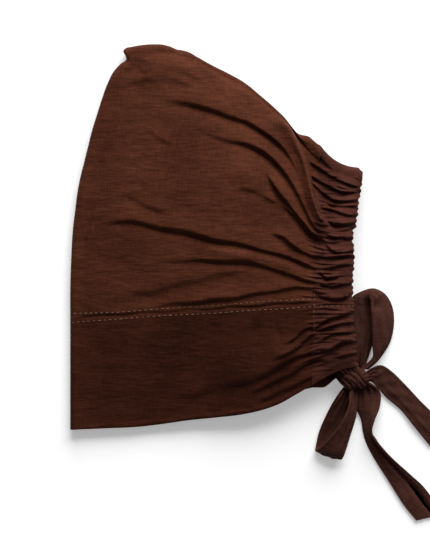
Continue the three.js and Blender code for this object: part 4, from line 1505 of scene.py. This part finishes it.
@dataclass
class Tie:
    """One visible run of a tie: a strip of cloth between two edges, row by row from the knot outwards."""

    name: str
    node: str
    rows: Rows
    length: float
    held: str
    rests_on: tuple[str, ...]
    returns: bool = False
    width: float = 17.0
    cloth: float = 0.9
    steps: int = 170
    across: int = 44
    lowest: float = 0.75
    floor_gap: float = 0.12
    hem: float = 0.22
    hems_at: tuple[float, float] = (0.06, 0.94)
    hem_spread: float = 0.04
    bulge: float = 0.5
    ripple: float = 0.35
    ripple_waves: tuple[float, float, float, float] = (9.0, 5.0, 31.0, 4.0)
    gathers: int = 4
    gather_sway: tuple[float, float] = (0.7, 4.0)
    gather_depth: float = 0.8
    gather_reach: float = 0.16
    crease: float = 0.4
    crease_at: float = 0.66
    crease_spread: float = 0.1
    crease_ease: tuple[float, float] = (0.3, 0.25)
    dent: float = 0.0
    dent_at: tuple[float, float] = (0.60, 0.62)
    dent_spread: tuple[float, float] = (0.045, 0.22)
    run: float = 0.0

    def build(self, knot: np.ndarray, plan: CapPlan) -> bpy.types.Object:
        """Builds the strip.

        Args:
            knot: the knot's centre, in millimetres.
            plan: the cap's sizes.

        Returns:
            The strip's object.
        """
        rows = np.array(self.rows)
        scale = np.array([self.length, self.length, self.width])
        base = np.array([knot[0], knot[1], 0.0])
        sides = []
        for columns in (rows[:, 0:3], rows[:, 3:6]):
            spots = columns * scale + base
            spots[:, 2] = np.maximum(spots[:, 2], self.lowest * self.cloth)
            sides.append(self.follow(spots))
        first, second = sides
        share = np.linspace(0.0, 1.0, self.across + 1)[None, :, None]
        middle = first[:, None, :] + (second - first)[:, None, :] * share
        step = np.gradient(middle, axis=0)
        side = np.gradient(middle, axis=1)
        normal = np.cross(side, step)
        normal /= np.maximum(np.linalg.norm(normal, axis=2, keepdims=True), TINY)
        along = np.linspace(0.0, 1.0, self.steps + 1)[:, None, None]
        middle = middle + normal * self.lift(share, along)
        line = middle[:, self.across // 2]
        self.run = float(np.linalg.norm(np.diff(line, axis=0), axis=1).sum())
        upper, lower = middle + normal * self.cloth / 2.0, middle - normal * self.cloth / 2.0
        for face in (upper, lower):
            face[..., 2] = np.maximum(face[..., 2], self.floor_gap)
        weave = np.concatenate([share * self.width + 0.0 * along, along * self.run + 0.0 * share], axis=2)
        return wall_object(self.name, plan.to_frame(upper), plan.to_frame(lower), weave)

    def lift(self, share: np.ndarray, along: np.ndarray) -> np.ndarray:
        """Gives how far the cloth stands out of the plain strip.

        Args:
            share: shares of the way across the strip.
            along: shares of the way along it.

        Returns:
            The height over the strip at each place, in millimetres.
        """
        hem = self.hem * sum(np.exp(-((share - at) / self.hem_spread) ** 2) for at in self.hems_at)
        over, slant, forward, lean = self.ripple_waves
        waves = np.sin(over * share + slant * along) * np.sin(forward * along + lean * share)
        full = np.sin(math.pi * share)
        lift = self.bulge * full * np.sin(math.pi * along) ** 0.5 + hem + self.ripple * waves * full**0.5
        crest = np.exp(-(((share - self.crease_at) / self.crease_spread) ** 2))
        lift = lift + self.crease * crest * ease(along, *self.crease_ease)
        hollow = (((along - self.dent_at[0]) / self.dent_spread[0]) ** 2
                  + ((share - self.dent_at[1]) / self.dent_spread[1]) ** 2)
        lift = lift - self.dent * np.exp(-hollow)
        held = np.exp(-((along / self.gather_reach) ** 2))
        if self.returns:
            held = held + np.exp(-(((1.0 - along) / self.gather_reach) ** 2))
        sway, sways = self.gather_sway
        pleats = np.sin(2.0 * math.pi * self.gathers * share + sway * np.sin(sways * along))
        return lift + self.gather_depth * held * pleats

    def follow(self, spots: np.ndarray) -> np.ndarray:
        """Draws one edge through its rows, keeping both edges in step.

        Args:
            spots: the edge's places, one for each row.

        Returns:
            The edge's points, as many as the strip has steps.
        """
        t = np.linspace(0.0, len(spots) - 1.0, self.steps + 1)
        i = np.minimum(t.astype(int), len(spots) - 2)
        u = (t - i)[:, None]
        padded = np.vstack([2 * spots[0] - spots[1], spots, 2 * spots[-1] - spots[-2]])
        a, b, c, d = (padded[i + k] for k in range(4))
        square, cube = 2 * a - 5 * b + 4 * c - d, 3 * b - a - 3 * c + d
        return 0.5 * (2 * b + (c - a) * u + square * u**2 + cube * u**3)

    def dress(self, piece: bpy.types.Object, finishes: Finishes) -> None:
        """Gives the strip its cloth and its place in the frame.

        Args:
            piece: the strip's object.
            finishes: every finish on the cap.
        """
        piece.data.materials.append(finishes.tie)
        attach(piece, "root")
        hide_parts(self.node)


# The edges of the loops and the free ends, in a row's first and second three: across and up from the
# knot's centre in shares of the run's length, then height in shares of the width
UPPER_LOOP: Rows = (
    (0.01, 0.09, 0.22, 0.11, 0.09, 0.26),
    (-0.04, 0.30, 0.30, 0.175, 0.27, 0.10),
    (-0.08, 0.54, 0.34, 0.235, 0.50, 0.06),
    (-0.08, 0.77, 0.34, 0.215, 0.70, 0.06),
    (-0.02, 0.90, 0.30, 0.205, 0.84, 0.14),
    (0.10, 0.965, 0.22, 0.19, 0.87, 0.32),
    (0.23, 0.985, 0.14, 0.18, 0.85, 0.50),
    (0.355, 0.915, 0.08, 0.18, 0.77, 0.56),
    (0.43, 0.765, 0.05, 0.19, 0.66, 0.58),
    (0.44, 0.57, 0.05, 0.195, 0.50, 0.56),
    (0.39, 0.37, 0.05, 0.200, 0.36, 0.46),
    (0.27, 0.22, 0.10, 0.205, 0.22, 0.40),
    (0.14, 0.10, 0.22, 0.09, 0.10, 0.38),
)
LOWER_LOOP: Rows = (
    (-0.09, -0.06, 0.25, 0.02, -0.09, 0.25),
    (-0.19, -0.19, 0.46, 0.01, -0.23, 0.18),
    (-0.31, -0.39, 0.32, -0.04, -0.47, 0.08),
    (-0.43, -0.66, 0.12, -0.12, -0.74, 0.05),
    (-0.475, -0.85, 0.07, -0.17, -0.94, 0.07),
    (-0.48, -0.91, 0.21, -0.165, -1.02, 0.21),
    (-0.39, -0.83, 0.48, -0.13, -0.97, 0.34),
    (-0.205, -0.61, 0.66, -0.065, -0.76, 0.26),
    (-0.085, -0.38, 0.68, 0.020, -0.48, 0.16),
    (-0.06, -0.22, 0.60, 0.035, -0.26, 0.18),
    (-0.05, -0.09, 0.44, 0.03, -0.09, 0.32),
)
UPPER_TAIL: Rows = (
    (0.08, 0.03, 0.34, 0.08, -0.06, 0.30),
    (0.18, 0.10, 0.28, 0.16, -0.04, 0.20),
    (0.28, 0.12, 0.20, 0.24, -0.11, 0.10),
    (0.39, 0.05, 0.12, 0.33, -0.21, 0.05),
    (0.55, -0.11, 0.08, 0.47, -0.33, 0.05),
    (0.69, -0.26, 0.05, 0.60, -0.49, 0.09),
    (0.89, -0.45, 0.05, 0.77, -0.70, 0.05),
)
LOWER_TAIL: Rows = (
    (0.02, -0.02, 0.28, 0.08, -0.02, 0.30),
    (-0.005, -0.10, 0.16, 0.162, -0.085, 0.14),
    (0.004, -0.18, 0.10, 0.160, -0.18, 0.26),
    (0.044, -0.26, 0.05, 0.125, -0.26, 0.44),
    (0.059, -0.34, 0.05, 0.106, -0.34, 0.50),
    (0.078, -0.41, 0.05, 0.145, -0.405, 0.46),
    (0.128, -0.51, 0.05, 0.230, -0.50, 0.32),
    (0.222, -0.66, 0.05, 0.353, -0.61, 0.16),
    (0.31, -0.80, 0.05, 0.448, -0.70, 0.08),
    (0.39, -0.90, 0.05, 0.56, -0.86, 0.05),
)


@dataclass
class Knot:
    """The bow's knot: a full wad of cloth with a pleated strap crossing over it."""

    plan: CapPlan
    length: float = 18.0
    breadth: float = 13.6
    height: float = 11.0
    tucked_in: float = 0.1
    floor_gap: float = 0.1
    wad_steps: tuple[int, int] = (96, 48)
    wad_fit: float = 0.97
    pole_gap: float = 0.02
    crossing_lean: float = 0.45
    creases_at: tuple[float, float] = (0.25, -0.45)
    crease_spread: float = 0.15
    crease_depth: float = 0.24
    wrinkles: float = 17.0
    wrinkle_depth: float = 0.035
    strap_width: float = 7.5
    strap_turn: float = 0.85
    strap_steps: tuple[int, int] = (120, 20)
    strap_outside: float = 1.1
    strap_inside: float = 0.1
    strap_flare: float = 0.25
    strap_flatness: float = 0.6
    strap_rest: tuple[float, float] = (0.15, 0.35)
    strap_weave: tuple[float, float] = (2.0, 6.0)
    strap_least_reach: float = 0.1
    pleats: float = 2.5
    pleat_depth: float = 0.85
    pleat_sway: tuple[float, float] = (0.3, 3.0)

    @property
    def centre(self) -> np.ndarray:
        """The knot's centre.

        Returns:
            Its place in millimetres from the seam's end.
        """
        plan = self.plan
        return np.array([
            plan.panel_width + plan.foot_reach - self.tucked_in * self.length,
            plan.near_foot + plan.near_end_rise - 0.5 * self.breadth,
            0.5 * self.height + self.floor_gap,
        ])

    def build_wad(self) -> bpy.types.Object:
        """Builds the wad with its crossing creases.

        Returns:
            The wad's object.
        """
        around, up = self.wad_steps
        turn = np.linspace(0.0, 2.0 * math.pi, around, endpoint=False)[None, :]
        lean = np.linspace(self.pole_gap, math.pi - self.pole_gap, up)[:, None]
        x, y, z = np.sin(lean) * np.cos(turn), np.sin(lean) * np.sin(turn), np.cos(lean) + 0.0 * turn
        crossing = x + self.crossing_lean * y
        first, second = (np.exp(-(((crossing - at) / self.crease_spread) ** 2)) for at in self.creases_at)
        grip = (1.0 - self.crease_depth * first - self.crease_depth * second
                + self.wrinkle_depth * np.sin(self.wrinkles * (y - 0.5 * x)) * (1.0 - z * z) ** 0.5)
        half = np.array([self.length, self.breadth, self.height]) / 2.0
        body = np.stack([x * grip, y * grip, z * grip], axis=-1) * half * self.wad_fit + self.centre
        pole = half[2] * self.wad_fit
        poles = np.array([[0.0, 0.0, pole], [0.0, 0.0, -pole]]) + self.centre
        points = np.concatenate([body.reshape(-1, 3), poles])
        grid = np.arange(up * around).reshape(up, around)
        after = np.roll(grid, -1, axis=1)
        quads = np.stack([grid[:-1], grid[1:], after[1:], after[:-1]], axis=-1).reshape(-1, 4).tolist()
        north, south = up * around, up * around + 1
        caps = [[north, int(a), int(b)] for a, b in zip(grid[0], after[0])]
        caps += [[south, int(b), int(a)] for a, b in zip(grid[-1], after[-1])]
        mesh = bpy.data.meshes.new("knot_wad")
        mesh.from_pydata(self.plan.to_frame(points).tolist(), [], quads + caps)
        place = mesh.attributes.new("cloth_place", "FLOAT_VECTOR", "POINT")
        place.data.foreach_set("vector", (points * np.array([1.0, 1.0, 0.0])).astype(np.float32).ravel())
        mesh.shade_smooth()
        return link(mesh, "bow_knot_wad")

    def build_strap(self) -> bpy.types.Object:
        """Builds the pleated strap round the wad.

        Returns:
            The strap's object.
        """
        steps, across = self.strap_steps
        angle = np.linspace(0.0, 2.0 * math.pi, steps + 1)[:, None]
        share = np.linspace(-0.5, 0.5, across + 1)[None, :]
        cos, sin = math.cos(self.strap_turn), math.sin(self.strap_turn)
        sway, sways = self.pleat_sway
        waves = np.sin(self.pleats * math.pi * (share + 0.5) + sway * np.sin(sways * angle))
        pleats = self.pleat_depth * np.abs(waves)
        curve = 1.0 - (2.0 * share * self.strap_width / self.length) ** 2
        reach = np.sqrt(np.maximum(curve, self.strap_least_reach))
        faces = []
        layers = (
            (self.strap_outside, pleats, self.strap_rest[0]),
            (self.strap_inside, 0.0, self.strap_rest[1]),
        )
        for clearance, raised, rest in layers:
            flank = self.breadth / 2.0 * reach + clearance + raised
            rise = self.height / 2.0 * reach + clearance * self.strap_flatness + raised
            along = share * self.strap_width * (1.0 + self.strap_flare * np.cos(angle)) + 0.0 * angle
            over, high = flank * np.cos(angle), rise * np.sin(angle)
            turned = (along * cos - over * sin, along * sin + over * cos, high)
            points = np.stack(turned, axis=-1) + self.centre
            points[..., 2] = np.maximum(points[..., 2], rest)
            faces.append(points)
        over_cloth, round_cloth = self.strap_weave
        weave = np.stack([share * self.strap_width * over_cloth + 0.0 * angle,
                          angle * round_cloth + 0.0 * share], axis=-1)
        outer, inner = (self.plan.to_frame(points) for points in faces)
        return wall_object("bow_knot_strap", outer, inner, weave)

    def dress(self, wad: bpy.types.Object, strap: bpy.types.Object, finishes: Finishes) -> None:
        """Gives the knot its cloth and its place in the frame.

        Args:
            wad: the wad's object.
            strap: the strap's object.
            finishes: every finish on the cap.
        """
        for piece in (wad, strap):
            piece.data.materials.append(finishes.tie)
            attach(piece, "root")
        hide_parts("bow_knot")


@dataclass
class Bow:
    """The two ties as they leave the casing, the knot, the loops and the free ends."""

    plan: CapPlan
    upper_loop: float = 54.0
    lower_loop: float = 48.0
    upper_tail: float = 60.0
    lower_tail: float = 96.0
    width: float = 17.0
    root_span: tuple[float, float] = (0.52, 0.96)
    root_inside: float = 5.0

    def root_rows(self, knot: Knot) -> tuple[Rows, Rows]:
        """Gives the rows of the two short runs between the casing and the knot, from the knot's centre.

        Args:
            knot: the knot that they lead to.

        Returns:
            The near run's rows and the far run's.
        """
        plan = self.plan
        centre = knot.centre
        leave = float(plan.nape_height(0.0)) - 1.1
        end = plan.near_foot + plan.near_end_rise

        def row(a: tuple[float, float, float], b: tuple[float, float, float]) -> tuple[float, ...]:
            """Puts a pair of places relative to the knot, heights in shares of the width."""
            return (a[0] - centre[0], a[1] - centre[1], a[2] / self.width,
                    b[0] - centre[0], b[1] - centre[1], b[2] / self.width)

        left, right = (plan.panel_width + plan.foot_reach * share for share in self.root_span)
        begin = end + self.root_inside
        near = (
            row((left - 1.5, begin, leave - 1.2), (right + 0.4, begin, leave - 1.2)),
            row((left, end - 1.2, leave - 0.3), (right, end - 0.5, leave - 0.3)),
            row((left + 2.6, end - 3.2, leave * 0.93), (right, end - 2.6, leave * 0.95)),
            row((centre[0] - 4.4, centre[1] - 0.5, 8.2), (centre[0] + 2.4, centre[1] - 0.1, 8.2)),
        )

        def crossing(a: tuple[float, float, float], b: tuple[float, float, float]) -> tuple[float, ...]:
            """Puts a pair of places measured from the knot's centre into a row."""
            return (a[0], a[1], a[2] / self.width, b[0], b[1], b[2] / self.width)

        far = (
            crossing((-5.5, 11.0, 3.2), (-15.0, 7.5, 3.2)),
            crossing((-5.7, 7.0, 4.8), (-12.3, 2.2, 3.6)),
            crossing((-1.5, 3.0, 9.0), (-9.2, -2.5, 6.5)),
            crossing((2.2, -1.0, 11.3), (-5.8, -6.0, 8.4)),
            crossing((3.0, -4.5, 9.8), (-3.5, -8.2, 6.2)),
        )
        return near, far

    def ties(self, knot: Knot) -> list[Tie]:
        """Lists the visible runs of the two ties.

        Args:
            knot: the knot that they meet in.

        Returns:
            The runs.
        """
        near, far = self.root_rows(knot)
        return [
            Tie("tie_near_run", "tie_root_near", near, 1.0, "gathered", ("nape_casing_channel",),
                steps=40, bulge=0.3, ripple=0.2, gathers=4, gather_depth=0.7, gather_reach=4.0),
            Tie("tie_far_run", "tie_root_far", far, 1.0, "gathered", ("nape_casing_channel",),
                steps=60, bulge=0.8, ripple=0.2, gathers=3, gather_depth=0.75, gather_reach=4.0),
            Tie("bow_upper_loop", "bow_loop_upper", UPPER_LOOP, self.upper_loop, "folded", ("bow_knot_wad",),
                returns=True, bulge=2.0, dent=2.6),
            Tie("bow_lower_loop", "bow_loop_lower", LOWER_LOOP, self.lower_loop, "folded", ("bow_knot_wad",),
                returns=True, bulge=1.2),
            Tie("tie_upper_end", "tie_tail_upper", UPPER_TAIL, self.upper_tail, "laid", ("bow_knot_wad",)),
            Tie("tie_lower_end", "tie_tail_lower", LOWER_TAIL, self.lower_tail, "laid", ("bow_knot_wad",),
                crease=1.9),
        ]


# The studio


@dataclass
class Studio:
    """A white floor, a near soft light from beyond the crown, a weak sky, and a camera straight above."""

    view_centre: tuple[float, float] = (-0.0252, 0.0088)
    view_height: float = 0.3222
    focus_height: float = 0.006
    lens: float = 150.0
    sensor: float = 36.0
    sight: float = 20.0
    floor_half: float = 3.0
    floor_height: float = -0.0003
    paper_tone: float = 0.78
    paper_roughness: float = 0.95
    paper_glow: float = 0.30
    sky: float = 0.20
    key_place: tuple[float, float, float] = (0.30, 1.54, 0.88)
    key_size: tuple[float, float] = (1.80, 1.25)
    key_power: float = 70.0

    def build_camera(self) -> None:
        """Sets the camera over the cap, with the picture's top towards the crown."""
        data = bpy.data.cameras.new("overhead")
        data.lens = self.lens
        data.sensor_width = self.sensor
        data.clip_end = self.sight
        camera = bpy.data.objects.new("overhead", data)
        bpy.context.scene.collection.objects.link(camera)
        height = self.view_height * self.lens / self.sensor + self.focus_height
        camera.location = (*self.view_centre, height)
        bpy.context.scene.camera = camera

    def build_floor(self) -> None:
        """Lays the white floor."""
        mesh = bpy.data.meshes.new("studio_floor")
        half = self.floor_half
        corners = ((-half, -half), (half, -half), (half, half), (-half, half))
        mesh.from_pydata([(x, y, self.floor_height) for x, y in corners], [], [(0, 1, 2, 3)])
        floor = link(mesh, "studio_floor")
        paper = bpy.data.materials.new("white_paper")
        paper.use_nodes = True
        shader = paper.node_tree.nodes["Principled BSDF"]
        shader.inputs["Base Color"].default_value = (self.paper_tone, self.paper_tone, self.paper_tone, 1.0)
        shader.inputs["Roughness"].default_value = self.paper_roughness
        shader.inputs["Specular IOR Level"].default_value = 0.0
        shader.inputs["Emission Color"].default_value = (1.0, 1.0, 1.0, 1.0)
        shader.inputs["Emission Strength"].default_value = self.paper_glow
        floor.data.materials.append(paper)

    def build_light(self, name: str, place: tuple[float, float, float], aim: tuple[float, float, float],
                    size: tuple[float, float], power: float) -> None:
        """Adds a soft light.

        Args:
            name: the light's name.
            place: where it stands, in metres.
            aim: where it points.
            size: its width and height.
            power: its strength, in watts.
        """
        data = bpy.data.lights.new(name, "AREA")
        data.shape = "RECTANGLE"
        data.size, data.size_y = size
        data.energy = power
        light = bpy.data.objects.new(name, data)
        bpy.context.scene.collection.objects.link(light)
        light.location = place
        light.rotation_mode = "QUATERNION"
        light.rotation_quaternion = (Vector(aim) - Vector(place)).to_track_quat("-Z", "Y")

    def build_sky(self, strength: float) -> None:
        """Fills the shadows from all round.

        Args:
            strength: the sky's brightness.
        """
        world = bpy.data.worlds.new("studio_sky")
        world.use_nodes = True
        sky = world.node_tree.nodes["Background"]
        sky.inputs["Color"].default_value = (1.0, 1.0, 1.0, 1.0)
        sky.inputs["Strength"].default_value = strength
        bpy.context.scene.world = world

    def build(self) -> None:
        """Sets up the whole studio."""
        bpy.context.scene.view_settings.view_transform = "Standard"
        self.build_camera()
        self.build_floor()
        self.build_sky(self.sky)
        self.build_light("key", self.key_place, (0.0, 0.0, 0.0), self.key_size, self.key_power)


# The whole cap


def report(piece: bpy.types.Object) -> None:
    """Says what was built.

    Args:
        piece: the finished piece.
    """
    log.info("%s: %d faces, cloth %.6f m2", piece.name, len(piece.data.polygons), cloth_area(piece))


def main() -> None:
    """Builds the studio and the cap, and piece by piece."""
    logging.basicConfig(level=logging.INFO, format="%(name)s %(message)s")
    Studio().build()
    plan = plan_from_frame()
    finishes = Finishes()
    panels = []
    for maker in (FrontBand(plan), Crown(plan), NapeCasing(plan)):
        piece = maker.build()
        maker.dress(piece, finishes)
        panels.append(piece)
        report(piece)
    bpy.context.view_layer.update()
    stitching = Topstitching(plan)
    stitches = stitching.build(panels, finishes.thread)
    stitching.dress(stitches)
    report(stitches)
    knot = Knot(plan)
    wad, strap = knot.build_wad(), knot.build_strap()
    knot.dress(wad, strap, finishes)
    report(wad)
    report(strap)
    for tie in Bow(plan).ties(knot):
        piece = tie.build(knot.centre, plan)
        tie.dress(piece, finishes)
        report(piece)


if __name__ == "__main__":
    main()
